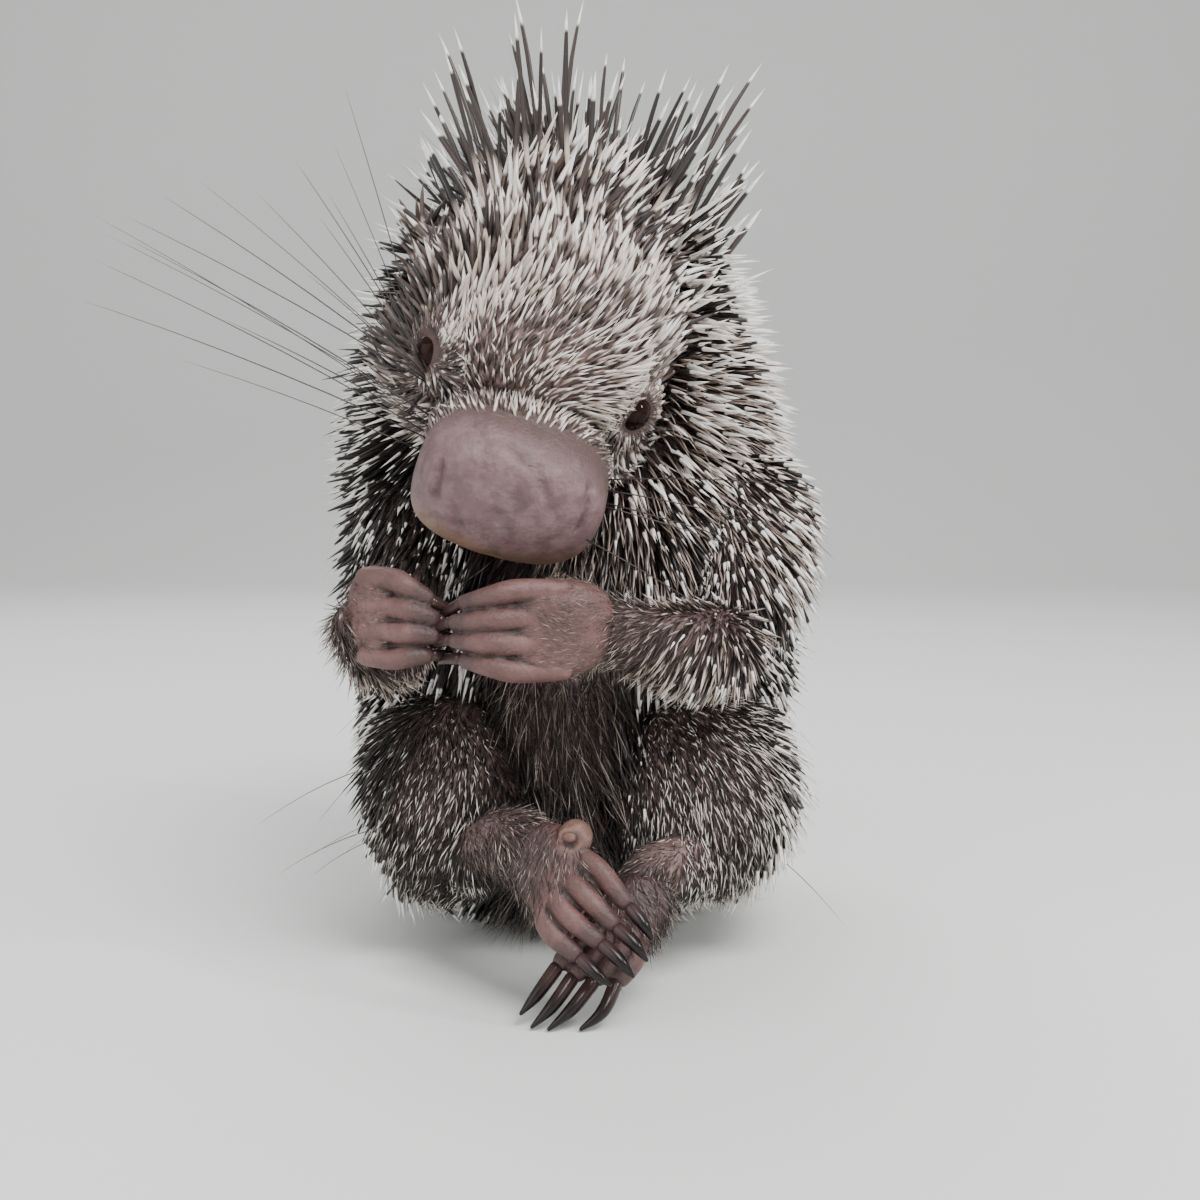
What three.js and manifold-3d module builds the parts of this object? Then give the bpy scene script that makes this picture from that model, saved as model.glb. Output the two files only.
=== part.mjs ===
// A prehensile-tailed porcupine, life size, sitting upright on its rump. The hind feet cross in front,
// the hands are held up under the blunt nose, and the long tail lies in a curl behind.
// Units are millimetres. X points to the animal's left, Y to its back and Z up. The floor is z = 0.
import * as THREE from "three";
import { mergeVertices } from "three/addons/utils/BufferGeometryUtils.js";
import Module from "manifold-3d";

const wasm = await Module();
wasm.setup();

// Driving dimensions
const SEATED_HEIGHT = 236; // floor to the top of the nape, under the quills
const BODY_HALF_WIDTH = 69; // half the body's width at its widest, in the close underfur
const BODY_HALF_DEPTH = 66;
const BODY_X = -8; // the body leans a little to its right
const HEAD_HALF_WIDTH = 38;
const EYE_SPACING = 57; // between the centres of the eyeballs
const EYE_RADIUS = 6;
const TAIL_LENGTH = 330;
const GAP = 0.32; // between neighbours

const vec = (x, y, z) => new THREE.Vector3(x, y, z);
const mix = THREE.MathUtils.lerp;
const radians = THREE.MathUtils.degToRad;

// A seeded random number from 0 to 1, so that every build is the same.
function dice(seed) {
  let state = seed >>> 0;
  return () => {
    state = (state + 0x6d2b79f5) >>> 0;
    let t = Math.imul(state ^ (state >>> 15), 1 | state);
    t = (t + Math.imul(t ^ (t >>> 7), 61 | t)) ^ t;
    return ((t ^ (t >>> 14)) >>> 0) / 4294967296;
  };
}

// Reads a value from a short list of [place, value] pairs, straight between them.
function along(pairs, place) {
  if (place <= pairs[0][0]) return pairs[0][1];
  for (let i = 1; i < pairs.length; i++) {
    const [p0, v0] = pairs[i - 1];
    const [p1, v1] = pairs[i];
    if (place <= p1) return mix(v0, v1, (place - p0) / (p1 - p0));
  }
  return pairs[pairs.length - 1][1];
}

// Solids and geometries
function solidOf(geometry) {
  const bare = geometry.clone();
  for (const name of Object.keys(bare.attributes)) if (name !== "position") bare.deleteAttribute(name);
  const merged = mergeVertices(bare, 1e-3);
  const corners = new Uint32Array(merged.index.array);
  const mesh = { numProp: 3, vertProperties: merged.attributes.position.array, triVerts: corners };
  const made = new wasm.Manifold(new wasm.Mesh(mesh));
  if (made.volume() > 0) return made;
  for (let i = 0; i < corners.length; i += 3) [corners[i], corners[i + 1]] = [corners[i + 1], corners[i]];
  return new wasm.Manifold(new wasm.Mesh(mesh));
}

function geometryOf(solid) {
  const mesh = solid.getMesh();
  const geometry = new THREE.BufferGeometry();
  geometry.setAttribute("position", new THREE.BufferAttribute(new Float32Array(mesh.vertProperties), 3));
  geometry.setIndex(new THREE.BufferAttribute(new Uint32Array(mesh.triVerts), 1));
  geometry.computeVertexNormals();
  return geometry;
}

const joined = (solids) => wasm.Manifold.union(solids);

function largest(solid) {
  const bodies = solid.decompose();
  return bodies.reduce((best, body) => (body.volume() > best.volume() ? body : best));
}

// A closed, round-ended body swept along a smooth line through its stations.
// A station is [x, y, z, half width, half depth]; side is the way that the width runs.
class Limb {
  constructor(stations, { sides = 14, rings = 12, side = vec(1, 0, 0), blunt = [1, 1], square = 2 } = {}) {
    Object.assign(this, { sides, rings, side, square });
    const centres = stations.map(([x, y, z]) => vec(x, y, z));
    const sizes = stations.map(([, , , w, d]) => vec(w, d, 0));
    this.line = new THREE.CatmullRomCurve3(centres, false, "centripetal");
    this.line.arcLengthDivisions = 400;
    this.radii = new THREE.CatmullRomCurve3(sizes, false, "catmullrom", 0.5);
    this.length = this.line.getLength();
    const first = stations[0];
    const last = stations[stations.length - 1];
    this.caps = [
      (blunt[0] * (first[3] + first[4])) / 2,
      (blunt[1] * (last[3] + last[4])) / 2,
    ];
    this.slices = Array.from({ length: 49 }, (_, i) => this.slice((i / 48) * this.length, 0));
  }

  // The centre, axes and half sizes of the section at a distance along the line.
  slice(distance, grow) {
    const u = THREE.MathUtils.clamp(distance / this.length, 0, 1);
    const t = this.line.getUtoTmapping(u);
    const tangent = this.line.getTangent(t).normalize();
    const centre = this.line.getPoint(t).addScaledVector(tangent, distance - u * this.length);
    const across = this.side.clone().addScaledVector(tangent, -this.side.dot(tangent)).normalize();
    const deep = tangent.clone().cross(across);
    const radii = this.radii.getPoint(t);
    const fromEnds = [distance + grow, this.length + grow - distance];
    let round = 1;
    fromEnds.forEach((room, end) => {
      const cap = this.caps[end] + grow;
      if (room < cap) round *= Math.sqrt(Math.max(0, 1 - (1 - Math.max(room, 0) / cap) ** 2));
    });
    return { centre, tangent, across, deep, wide: (radii.x + grow) * round, tall: (radii.y + grow) * round };
  }

  geometry(grow = 0) {
    const shape = new THREE.SphereGeometry(1, this.sides, this.rings);
    const position = shape.attributes.position;
    for (let i = 0; i < position.count; i++) {
      const ring = Math.floor(i / (this.sides + 1));
      const turn = ((i % (this.sides + 1)) % this.sides) * ((2 * Math.PI) / this.sides);
      const share = (1 - Math.cos((Math.PI * ring) / this.rings)) / 2;
      const s = this.slice(-grow + share * (this.length + 2 * grow), grow);
      const c = Math.cos(turn);
      const d = Math.sin(turn);
      const bulge = (Math.abs(c) ** this.square + Math.abs(d) ** this.square) ** (-1 / this.square);
      const place = s.centre.clone().addScaledVector(s.across, c * bulge * s.wide);
      place.addScaledVector(s.deep, d * bulge * s.tall);
      position.setXYZ(i, place.x, place.y, place.z);
    }
    return shape;
  }

  solid(grow = 0) {
    return solidOf(this.geometry(grow));
  }

  // How far a point is from the surface, about right near it and negative inside.
  distance(point) {
    let best = Infinity;
    const step = this.length / 48;
    for (const s of this.slices) {
      if (s.wide < 0.2 || s.tall < 0.2) continue;
      const d = point.clone().sub(s.centre);
      const t = Math.abs(d.dot(s.tangent));
      const a = d.dot(s.across);
      const b = d.dot(s.deep);
      const out = Math.hypot(a, b) * (1 - 1 / Math.max(Math.hypot(a / s.wide, b / s.tall), 1e-6));
      const here = out > 0 ? Math.hypot(out, Math.max(0, t - step)) : t < step ? out : t - step;
      best = Math.min(best, here);
    }
    return best;
  }
}

// The head has its own axes: forward along the nose, left, and up through the crown.
const HEAD = { origin: vec(-19, -72, 173), yaw: 3, pitch: 37, roll: 20 };
const forward = vec(
  -Math.sin(radians(HEAD.yaw)) * Math.cos(radians(HEAD.pitch)),
  -Math.cos(radians(HEAD.yaw)) * Math.cos(radians(HEAD.pitch)),
  -Math.sin(radians(HEAD.pitch)),
);
const level = vec(Math.cos(radians(HEAD.yaw)), -Math.sin(radians(HEAD.yaw)), 0);
const left = level.clone().applyAxisAngle(forward, radians(-HEAD.roll));
const crown = forward.clone().cross(left);
const inHead = (f, r, u) =>
  HEAD.origin.clone().addScaledVector(forward, f).addScaledVector(left, r).addScaledVector(crown, u);
const headStation = ([f, r, u, wide, high]) => [...inHead(f, r, u).toArray(), wide, high];
const headLimb = (stations, options) => new Limb(stations.map(headStation), { side: left, ...options });

// Trunk: rump, back, chest and neck in one sweep. A station is [x, y, z, half width, half depth].
const H = SEATED_HEIGHT;
const W = BODY_HALF_WIDTH;
const D = BODY_HALF_DEPTH;
const trunkLimb = new Limb(
  [
    [BODY_X + 3, 12, -0.035 * H, 0.6 * W, 0.66 * D],
    [BODY_X + 2, 19, 0.1 * H, 0.88 * W, 0.95 * D],
    [BODY_X + 1, 18, 0.25 * H, W, 1.06 * D],
    [BODY_X, 13, 0.42 * H, W, 1.05 * D],
    [BODY_X - 1, 5, 0.6 * H, 0.95 * W, 0.96 * D],
    [BODY_X - 1, -5, 0.75 * H, 0.8 * W, 0.8 * D],
    [BODY_X - 1, -16, 0.87 * H, 0.63 * W, 0.64 * D],
    [BODY_X - 1, -27, 0.99 * H, 0.45 * W, 0.42 * D],
  ],
  { sides: 18, rings: 14, blunt: [1, 0.9], square: 2.2 },
);
const napeLimb = new Limb(
  [
    [BODY_X - 2, -12, 0.84 * H, 38, 34],
    [-14, -32, 0.81 * H, 36, 35],
    [-17, -50, 0.77 * H, 32, 33],
  ],
  { sides: 14, rings: 8 },
);
const bellyLimb = new Limb(
  [
    [BODY_X - 2, -34, 0.44 * H, 30, 20],
    [BODY_X - 2, -50, 0.31 * H, 27, 20],
    [BODY_X - 2, -58, 0.19 * H, 20, 15],
  ],
  { sides: 12, rings: 8 },
);
const NECK_FROM = 0.79 * H;

// Head pieces, in the head's own axes. A station is [forward, left, up, half width, half height].
const K = HEAD_HALF_WIDTH;
const skullLimb = headLimb(
  [
    [-58, 0, 2, 0.7 * K, 0.64 * K],
    [-38, 0, 5, K, 0.92 * K],
    [-14, 0, 4, 1.02 * K, 0.96 * K],
    [4, 0, 1, 0.86 * K, 0.83 * K],
    [20, 0, -3, 0.66 * K, 0.64 * K],
  ],
  { sides: 16, rings: 11, blunt: [0.9, 0.7] },
);
const cheekLimbs = [-1, 1].map((way) =>
  headLimb(
    [
      [-40, way * 25, -8, 15, 17],
      [-14, way * 23, -12, 19, 19],
      [10, way * 15, -15, 14, 13],
    ],
    { sides: 9, rings: 6 },
  ),
);
const muzzleLimb = headLimb(
  [
    [6, 0, -10, 22, 18],
    [22, 0, -12.5, 25.5, 20.5],
    [36, 0, -15.5, 26, 21],
    [49, 0, -19.5, 21.5, 16.5],
  ],
  { sides: 18, rings: 11, blunt: [0.8, 0.7], square: 2.4 },
);
const jawLimb = headLimb(
  [
    [-20, 0, -26, 18, 11],
    [8, 0, -34, 14, 9],
    [27, 0, -38, 10, 7],
  ],
  { sides: 10, rings: 6 },
);

// The eyes look forwards and out. A lid is a soft ring on the front of the eyeball.
const SIDES = { left: 1, right: -1 };
const eyeAt = (way) => inHead(1, (way * EYE_SPACING) / 2, 2);
const eyeFacing = (way) => forward.clone().multiplyScalar(0.5).addScaledVector(left, way * 0.82).normalize();
function turned(geometry, facing, place) {
  geometry.applyQuaternion(new THREE.Quaternion().setFromUnitVectors(vec(0, 0, 1), facing));
  return geometry.translate(place.x, place.y, place.z);
}
const eyeball = (way, grow = 0) =>
  solidOf(turned(new THREE.SphereGeometry(EYE_RADIUS + grow, 12, 8), eyeFacing(way), eyeAt(way)));
function lid(way) {
  const place = eyeAt(way).addScaledVector(eyeFacing(way), 0.5 * EYE_RADIUS);
  return solidOf(turned(new THREE.TorusGeometry(1.02 * EYE_RADIUS, 2.1, 5, 12), eyeFacing(way), place));
}

// Nostrils, and the cleft in the upper lip
function nostril(way) {
  const shape = new THREE.SphereGeometry(1, 8, 6).scale(3.4, 2.2, 6);
  const facing = forward.clone().multiplyScalar(0.75).addScaledVector(left, way * 0.5);
  facing.addScaledVector(crown, -0.45).normalize();
  return solidOf(turned(shape, facing, inHead(52, way * 10.5, -27)));
}
function lipCleft() {
  const shape = new THREE.SphereGeometry(1, 6, 6).scale(1.1, 5, 8);
  return solidOf(turned(shape, crown, inHead(48, 0, -36)));
}

// An ear is a short scooped cup behind and above the eye.
const EAR = { f: -32, r: 37, u: 12, wide: 7.5, tall: 9, thick: 4.5 };
const earFacing = (way) => forward.clone().multiplyScalar(0.62).addScaledVector(left, way * 0.78).normalize();
const earAt = (way, out = 0) => inHead(EAR.f, way * EAR.r, EAR.u).addScaledVector(earFacing(way), out);
function earShell(way, grow = 0) {
  const shape = new THREE.SphereGeometry(1, 10, 8).scale(EAR.wide + grow, EAR.tall + grow, EAR.thick + grow);
  return solidOf(turned(shape, earFacing(way), earAt(way)));
}
function ear(way) {
  const scoop = new THREE.SphereGeometry(1, 8, 6).scale(0.72 * EAR.wide, 0.72 * EAR.tall, EAR.thick);
  return earShell(way).subtract(solidOf(turned(scoop, earFacing(way), earAt(way, 0.75 * EAR.thick))));
}
// Arms: [x, y, z] of each joint
const arms = {
  left: {
    shoulder: [40, -12, 0.66 * H],
    middle: [44, -32, 128],
    elbow: [42, -59, 100],
    halfway: [26, -77, 99],
    wrist: [3, -88, 104],
    across: vec(0.3, 0, 1),
  },
  right: {
    shoulder: [-48, -14, 0.66 * H],
    middle: [-53, -33, 127],
    elbow: [-54, -55, 98],
    halfway: [-62, -69, 100],
    wrist: [-66, -81, 107],
    across: vec(1, 0.3, 0),
  },
};
for (const arm of Object.values(arms)) {
  const { shoulder, middle, elbow, halfway, wrist, across } = arm;
  const fromShoulder = [[...shoulder, 27, 28], [...middle, 24, 24], [...elbow, 16, 16]];
  arm.upper = new Limb(fromShoulder, { sides: 12, rings: 9 });
  arm.lower = new Limb([[...elbow, 14, 14], [...halfway, 14, 13], [...wrist, 11.5, 8]], {
    sides: 10,
    rings: 8,
    side: across,
  });
}

// Hands: four fingers stack upwards from the little finger and curl towards the other hand.
const DIGITS = 4;
const FINGER_PITCH = 7.4;
const FINGERS_GATHER = 0.42; // how much closer the fingers stand at their tips
const GATHER_BY_JOINT = [0.4, 0.8, 1, 1]; // the share of that at each joint, from the knuckle outwards
const hands = {
  left: {
    knuckles: [-17, -100, 106],
    reach: [[-13, -3, 0], [-24, 2.5, -0.5]],
    claw: [[-29.5, 8, -2.5], [-31.5, 14, -5]],
  },
  right: {
    knuckles: [-60, -91, 109],
    reach: [[9, -5.5, -1], [17, -4, -3]],
    claw: [[22, 0.5, -5], [23.5, 6.5, -8]],
  },
};
for (const [name, hand] of Object.entries(hands)) {
  const [x, y, z] = hand.knuckles;
  const [wristX, wristY, wristZ] = arms[name].wrist;
  const middle = [mix(wristX, x, 0.55), mix(wristY, y, 0.6), z + 0.5];
  hand.palm = new Limb([[wristX, wristY, wristZ, 11, 7.5], [...middle, 14, 7], [x, y, z, 14.5, 5]], {
    sides: 10,
    rings: 7,
    side: vec(0, 0, 1),
    blunt: [1, 0.5],
  });
  hand.digits = Array.from({ length: DIGITS }, (_, i) => {
    const rank = i - (DIGITS - 1) / 2;
    const size = Math.abs(rank) > 1 ? 0.88 : 1;
    const pitch = rank * FINGER_PITCH * (1 + 0.05 * Math.abs(rank));
    const [near, far, bend, tip] = [...hand.reach, ...hand.claw].map(([dx, dy, dz], joint) => [
      x + dx * size,
      y + dy * size,
      z + dz + pitch * (1 - FINGERS_GATHER * GATHER_BY_JOINT[joint]),
    ]);
    const root = [x - hand.reach[0][0] * 0.35, y + 1, z + pitch];
    const finger = new Limb([[...root, 3.6, 4], [...near, 3.3, 3.7], [...far, 2.6, 2.9]], {
      sides: 6,
      rings: 5,
      side: vec(0, 0, 1),
    });
    return { limb: finger, claw: claw(far, bend, tip, 1.7) };
  });
}

// Legs: thigh, shank, then foot with its toes and claws. The right foot lies over the left.
const legs = {
  right: {
    thigh: [[-26, 4, 52, 34, 42], [-42, -30, 51, 30, 37], [-44, -74, 49, 24, 29]],
    shank: [[-44, -40, 34, 12, 13], [-36, -66, 38, 12, 13], [-24, -84, 43, 10.5, 10.5]],
    ankle: [-22, -86, 45],
    instep: [-14, -96, 41],
    knuckles: [[-3, -101, 43], [-6.5, -104, 37.5], [-10.5, -105, 32], [-14.5, -104, 27]],
    tips: [[8, -108, 32.5], [4.7, -110.5, 27.5], [0.8, -111.5, 23.5], [-5, -110.5, 19.5]],
    bends: [[11.5, -111, 29], [9.5, -113.5, 24], [5.5, -114.5, 20], [-1, -113.5, 16.5]],
    points: [[14, -112.5, 25], [12.5, -114.5, 20], [9, -115.5, 16], [3, -114.5, 13.5]],
    pad: [-6.3, -98, 50],
  },
  left: {
    thigh: [[18, 4, 52, 34, 42], [28, -30, 51, 33, 37], [26, -73, 49, 30, 29]],
    shank: [[36, -38, 33, 12, 13], [27, -64, 34, 12, 13], [14, -81, 34, 10.5, 10.5]],
    ankle: [13, -82, 33],
    instep: [11, -90, 28],
    knuckles: [[10, -98.5, 17], [5, -99.5, 18], [0, -99.5, 19], [-5, -98.5, 21]],
    tips: [[4, -105, 10.5], [-2.3, -105.5, 11], [-7.8, -105, 12], [-12, -103.5, 14.5]],
    bends: [[0.5, -110, 4.8], [-8, -110, 5.2], [-13, -109.5, 6], [-17, -107, 8.5]],
    points: [[-5.5, -112, 0.6], [-14, -112, 0.6], [-18.5, -111, 0.8], [-21.5, -108.5, 3.5]],
    pad: [2, -88, 38],
  },
};
for (const leg of Object.values(legs)) {
  leg.upper = new Limb(leg.thigh, { sides: 14, rings: 10, blunt: [1, 0.85] });
  leg.lower = new Limb(leg.shank, { sides: 10, rings: 7 });
  const middle = [0, 1, 2].map((axis) => leg.knuckles.reduce((sum, place) => sum + place[axis] / DIGITS, 0));
  leg.palm = new Limb([[...leg.ankle, 10, 10], [...leg.instep, 12, 8], [...middle, 12, 4.5]], {
    sides: 10,
    rings: 7,
    side: vec(...leg.knuckles[0]).sub(vec(...leg.knuckles[DIGITS - 1])).normalize(),
    blunt: [1, 0.5],
  });
  leg.digits = leg.knuckles.map((knuckle, i) => {
    const root = knuckle.map((value, axis) => mix(value, leg.instep[axis], 0.6));
    const toe = new Limb([[...root, 3.4, 4], [...knuckle, 4, 4.6], [...leg.tips[i], 3.4, 3.6]], {
      sides: 6,
      rings: 5,
    });
    return { limb: toe, claw: claw(leg.tips[i], leg.bends[i], leg.points[i], 2.4) };
  });
}

// A claw curves and tapers to a point. Its root lies inside the finger or toe.
function claw(root, bend, tip, half) {
  const inner = root.map((value, axis) => value - (bend[axis] - value) * 0.25);
  return new Limb([[...inner, half, half * 1.15], [...bend, half * 0.8, half], [...tip, 0.35, 0.4]], {
    sides: 5,
    rings: 4,
  });
}

// Tail: a curl on the floor whose turn tightens towards the tip
const TAIL = {
  start: [BODY_X + 4, 52, 22],
  root: vec(BODY_X + 4, 72, 0),
  heading: 128,
  turn: 300,
  tighten: 1.5,
};
const TAIL_HALF = { root: 18, tip: 5.2 };
const TAIL_FLAT = 0.7; // how far the floor flattens it
function tailStations(count) {
  const stations = [];
  const place = TAIL.root.clone();
  const steps = 120;
  for (let i = 0; i <= steps; i++) {
    const share = i / steps;
    const half = mix(TAIL_HALF.root, TAIL_HALF.tip, share ** 0.75);
    const heading = radians(TAIL.heading - TAIL.turn * share ** TAIL.tighten);
    if (i % (steps / count) === 0) stations.push([place.x, place.y, half - TAIL_FLAT, half, half]);
    place.addScaledVector(vec(Math.cos(heading), Math.sin(heading), 0), TAIL_LENGTH / steps);
  }
  return stations;
}
const tail = tailStations(12);
const tailLimb = (stations, sides, rings, blunt) =>
  new Limb(stations, { sides, rings, side: vec(0, 0, 1), blunt });
const FLAT_END = 0.15;
const tailLengths = {
  tail_root: tailLimb([[...TAIL.start, 19, 19], ...tail.slice(0, 3)], 10, 6, [1, FLAT_END]),
  tail_base: tailLimb(tail.slice(2, 6), 10, 8, [FLAT_END, FLAT_END]),
  tail_middle: tailLimb(tail.slice(5, 9), 10, 9, [FLAT_END, FLAT_END]),
  tail_tip: tailLimb(tail.slice(8), 8, 11, [FLAT_END, 1]),
};

// Finishes
const coat = new THREE.MeshStandardMaterial({ color: 0x4a4340, roughness: 0.8 });
const bareSkin = new THREE.MeshStandardMaterial({ color: 0x8a7273, roughness: 0.6 });
const horn = new THREE.MeshStandardMaterial({ color: 0x2b2120, roughness: 0.35 });
const wetEye = new THREE.MeshStandardMaterial({ color: 0x120b09, roughness: 0.05 });
const tailSkin = new THREE.MeshStandardMaterial({ color: 0x4f4542, roughness: 0.85 });

// Each node is cut by all that was fitted before it, so that neighbours meet face to face.
const SPAN = 900; // wider and taller than the whole animal
const slab = (from, to) =>
  solidOf(new THREE.BoxGeometry(SPAN, SPAN, to - from).translate(0, 0, (from + to) / 2));
const floor = slab(-100, 0);
const fitted = new Map();
const rooms = new Map([["floor", [floor]]]);
const limbsOf = [];
function fit(name, material, limbs, { grow = 0, plus = [], minus = [], around = [] } = {}) {
  const whole = joined([...limbs.map((limb) => limb.solid(grow)), ...plus]);
  const taken = joined([...minus, ...rooms.values()].flat());
  fitted.set(name, { solid: largest(whole.subtract(taken)), material });
  rooms.set(name, [...limbs.map((limb) => limb.solid(grow + GAP)), ...around]);
  limbs.forEach((limb) => limbsOf.push([name, limb]));
}

for (const [name, way] of Object.entries(SIDES)) {
  fit("eye_" + name, wetEye, [], { plus: [eyeball(way)], around: [eyeball(way, GAP)] });
}
fit("muzzle", bareSkin, [muzzleLimb], { minus: [nostril(-1), nostril(1), lipCleft()] });
fit("jaw", bareSkin, [jawLimb]);
for (const [name, way] of Object.entries(SIDES)) {
  fit("ear_" + name, bareSkin, [], { plus: [ear(way)], around: [earShell(way, GAP)] });
}
fit("head", coat, [skullLimb, ...cheekLimbs], { plus: [lid(-1), lid(1)], around: [lid(-1), lid(1)] });
const trunkRoom = trunkLimb.solid(GAP);
const aboveCut = slab(NECK_FROM + GAP, SPAN);
fit("neck", coat, [], {
  plus: [trunkLimb.solid().intersect(aboveCut), napeLimb.solid()],
  around: [trunkRoom.intersect(aboveCut), napeLimb.solid(GAP)],
});
fit("torso", coat, [], {
  plus: [trunkLimb.solid().subtract(slab(NECK_FROM, SPAN)), bellyLimb.solid()],
  around: [trunkRoom.subtract(aboveCut), bellyLimb.solid(GAP)],
});
for (const limb of [trunkLimb, napeLimb, bellyLimb]) limbsOf.push(["trunk", limb]);
for (const name of Object.keys(SIDES)) {
  fit("upper_arm_" + name, coat, [arms[name].upper]);
  fit("forearm_" + name, coat, [arms[name].lower]);
}
for (const name of Object.keys(SIDES)) {
  const hand = hands[name];
  fit("hand_" + name, bareSkin, [hand.palm, ...hand.digits.map((digit) => digit.limb)]);
  hand.digits.forEach((digit, i) => fit(`claw_hand_${name}_${i + 1}`, horn, [digit.claw]));
}
for (const name of Object.keys(SIDES)) {
  fit("thigh_" + name, coat, [legs[name].upper]);
  fit("shank_" + name, coat, [legs[name].lower]);
}
for (const name of Object.keys(SIDES)) {
  const leg = legs[name];
  const pad = (grow) => solidOf(new THREE.SphereGeometry(5.5 + grow, 8, 6).translate(...leg.pad));
  const toes = leg.digits.map((digit) => digit.limb);
  fit("foot_" + name, bareSkin, [leg.palm, ...toes], { plus: [pad(0)], around: [pad(GAP)] });
  leg.digits.forEach((digit, i) => fit(`claw_foot_${name}_${i + 1}`, horn, [digit.claw]));
}
for (const [name, limb] of Object.entries(tailLengths)) fit(name, tailSkin, [limb]);

// Quills. Each field gives, for a place on a node's surface, how the quills there lie:
// direction, length, root half width and spacing, all from a few named values.
const QUILL_SIDES = 3;
const LONG_QUILL = 30; // past this length it bends a little
const SINK = 3.2; // how deep a root goes into its node
const CLEAR = 0.34; // between quills of different nodes
const FLOOR_CLEAR = 1.5;
const LOWEST_ROOT = 9; // above the floor
const ROOT_CLEAR = 1.2; // between a root and the neighbouring limbs
const QUILL_CLEAR = 0.8;
const LEAST_STAND = 0.3; // of a quill's direction along the surface's normal

// Elevation of the trunk's quills against height: they fan up over the nape and hang down the flanks.
const TRUNK_RISE = [
  [40, -66],
  [70, -60],
  [110, -52],
  [140, -42],
  [160, -30],
  [178, -12],
  [194, 16],
  [210, 46],
  [230, 70],
];
const SIDE_RISE = [[40, -62], [75, -51], [106, -43], [137, -30], [175, -13], [205, -4], [225, 14], [240, 40]];
const TRUNK_LENGTH = [[0, 17], [30, 23], [120, 24], [160, 24], [185, 27], [206, 44], [222, 60], [236, 68]];
const SIDE_LENGTH = [[0, 16], [40, 21], [120, 22], [190, 20], [236, 22]];
const trunkMiddle = [[0, 18], [100, 13], [142, 5], [180, -6], [236, -24]];
const trunkHalf = [[0, 44], [24, 61], [59, 69], [99, 69], [142, 66], [177, 55], [205, 44], [234, 31]];

function trunkQuill(place, normal, roll) {
  const { clamp } = THREE.MathUtils;
  const away = vec((place.x - BODY_X) / W, (place.y - along(trunkMiddle, place.z)) / D, 0).normalize();
  const front = clamp((190 - place.z) / 40, 0, 1) * clamp(-normal.y - 0.35, 0, 1);
  const beside = clamp((Math.abs(place.x - BODY_X) / along(trunkHalf, place.z) - 0.5) / 0.35, 0, 1);
  const lie = mix(along(TRUNK_RISE, place.z), along(SIDE_RISE, place.z), beside);
  const rise = radians(lie + mix(-7, 7, roll()) - 12 * front);
  const direction = away.multiplyScalar(Math.cos(rise)).add(vec(mix(-0.1, 0.1, roll()), 0, Math.sin(rise)));
  const reach = mix(along(TRUNK_LENGTH, place.z), along(SIDE_LENGTH, place.z), beside) * mix(1, 0.5, front);
  const back = 1 + 0.4 * clamp(normal.y - 0.2, 0, 0.6);
  return { direction, length: reach * back * mix(0.84, 1.1, roll()), half: mix(1.25, 0.8, front) };
}

// The head's quills run back from the muzzle and stand up towards the crown.
const HEAD_LIFT = [[-56, 62], [-38, 50], [-24, 38], [-10, 30], [4, 24], [20, 18]];
const HEAD_LENGTH = [[-56, 56], [-46, 42], [-36, 28], [-26, 20], [-14, 16], [-2, 12], [8, 8], [20, 5.5]];
const noseEnd = inHead(44, 0, -10);

function headQuill(place, normal, roll) {
  const from = place.clone().sub(HEAD.origin);
  const f = from.dot(forward);
  const low = THREE.MathUtils.clamp(-from.dot(crown) / 26, 0, 1);
  const flow = place.clone().sub(noseEnd);
  flow.addScaledVector(normal, -flow.dot(normal)).normalize();
  flow.add(vec(mix(-0.16, 0.16, roll()), 0, mix(-0.16, 0.16, roll()))).normalize();
  const lift = radians(along(HEAD_LIFT, f) * mix(1, 0.6, low) + mix(-6, 6, roll()));
  const direction = flow.multiplyScalar(Math.cos(lift)).addScaledVector(normal, Math.sin(lift));
  const aside = THREE.MathUtils.clamp((Math.abs(from.dot(left)) - 12) / 20, 0, 1);
  const length = along(HEAD_LENGTH, f) * mix(1, 0.62, low) * mix(1, 0.6, aside) * mix(0.8, 1.15, roll());
  return { direction, length, half: mix(0.6, 1.15, THREE.MathUtils.clamp(length / 25, 0, 1)) };
}

// On a limb they run down towards the hand or foot.
function limbQuill(towards, lift, reach) {
  return (place, normal, roll) => {
    const flow = towards.clone().addScaledVector(normal, -towards.dot(normal)).normalize();
    flow.add(vec(mix(-0.15, 0.15, roll()), mix(-0.15, 0.15, roll()), 0)).normalize();
    const angle = radians(lift + mix(-6, 6, roll()));
    const direction = flow.multiplyScalar(Math.cos(angle)).addScaledVector(normal, Math.sin(angle));
    const outside = THREE.MathUtils.clamp(0.75 + 0.5 * normal.x * Math.sign(place.x - BODY_X), 0.45, 1);
    return { direction, length: reach * outside * mix(0.85, 1.15, roll()), half: 0.85 };
  };
}

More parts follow.
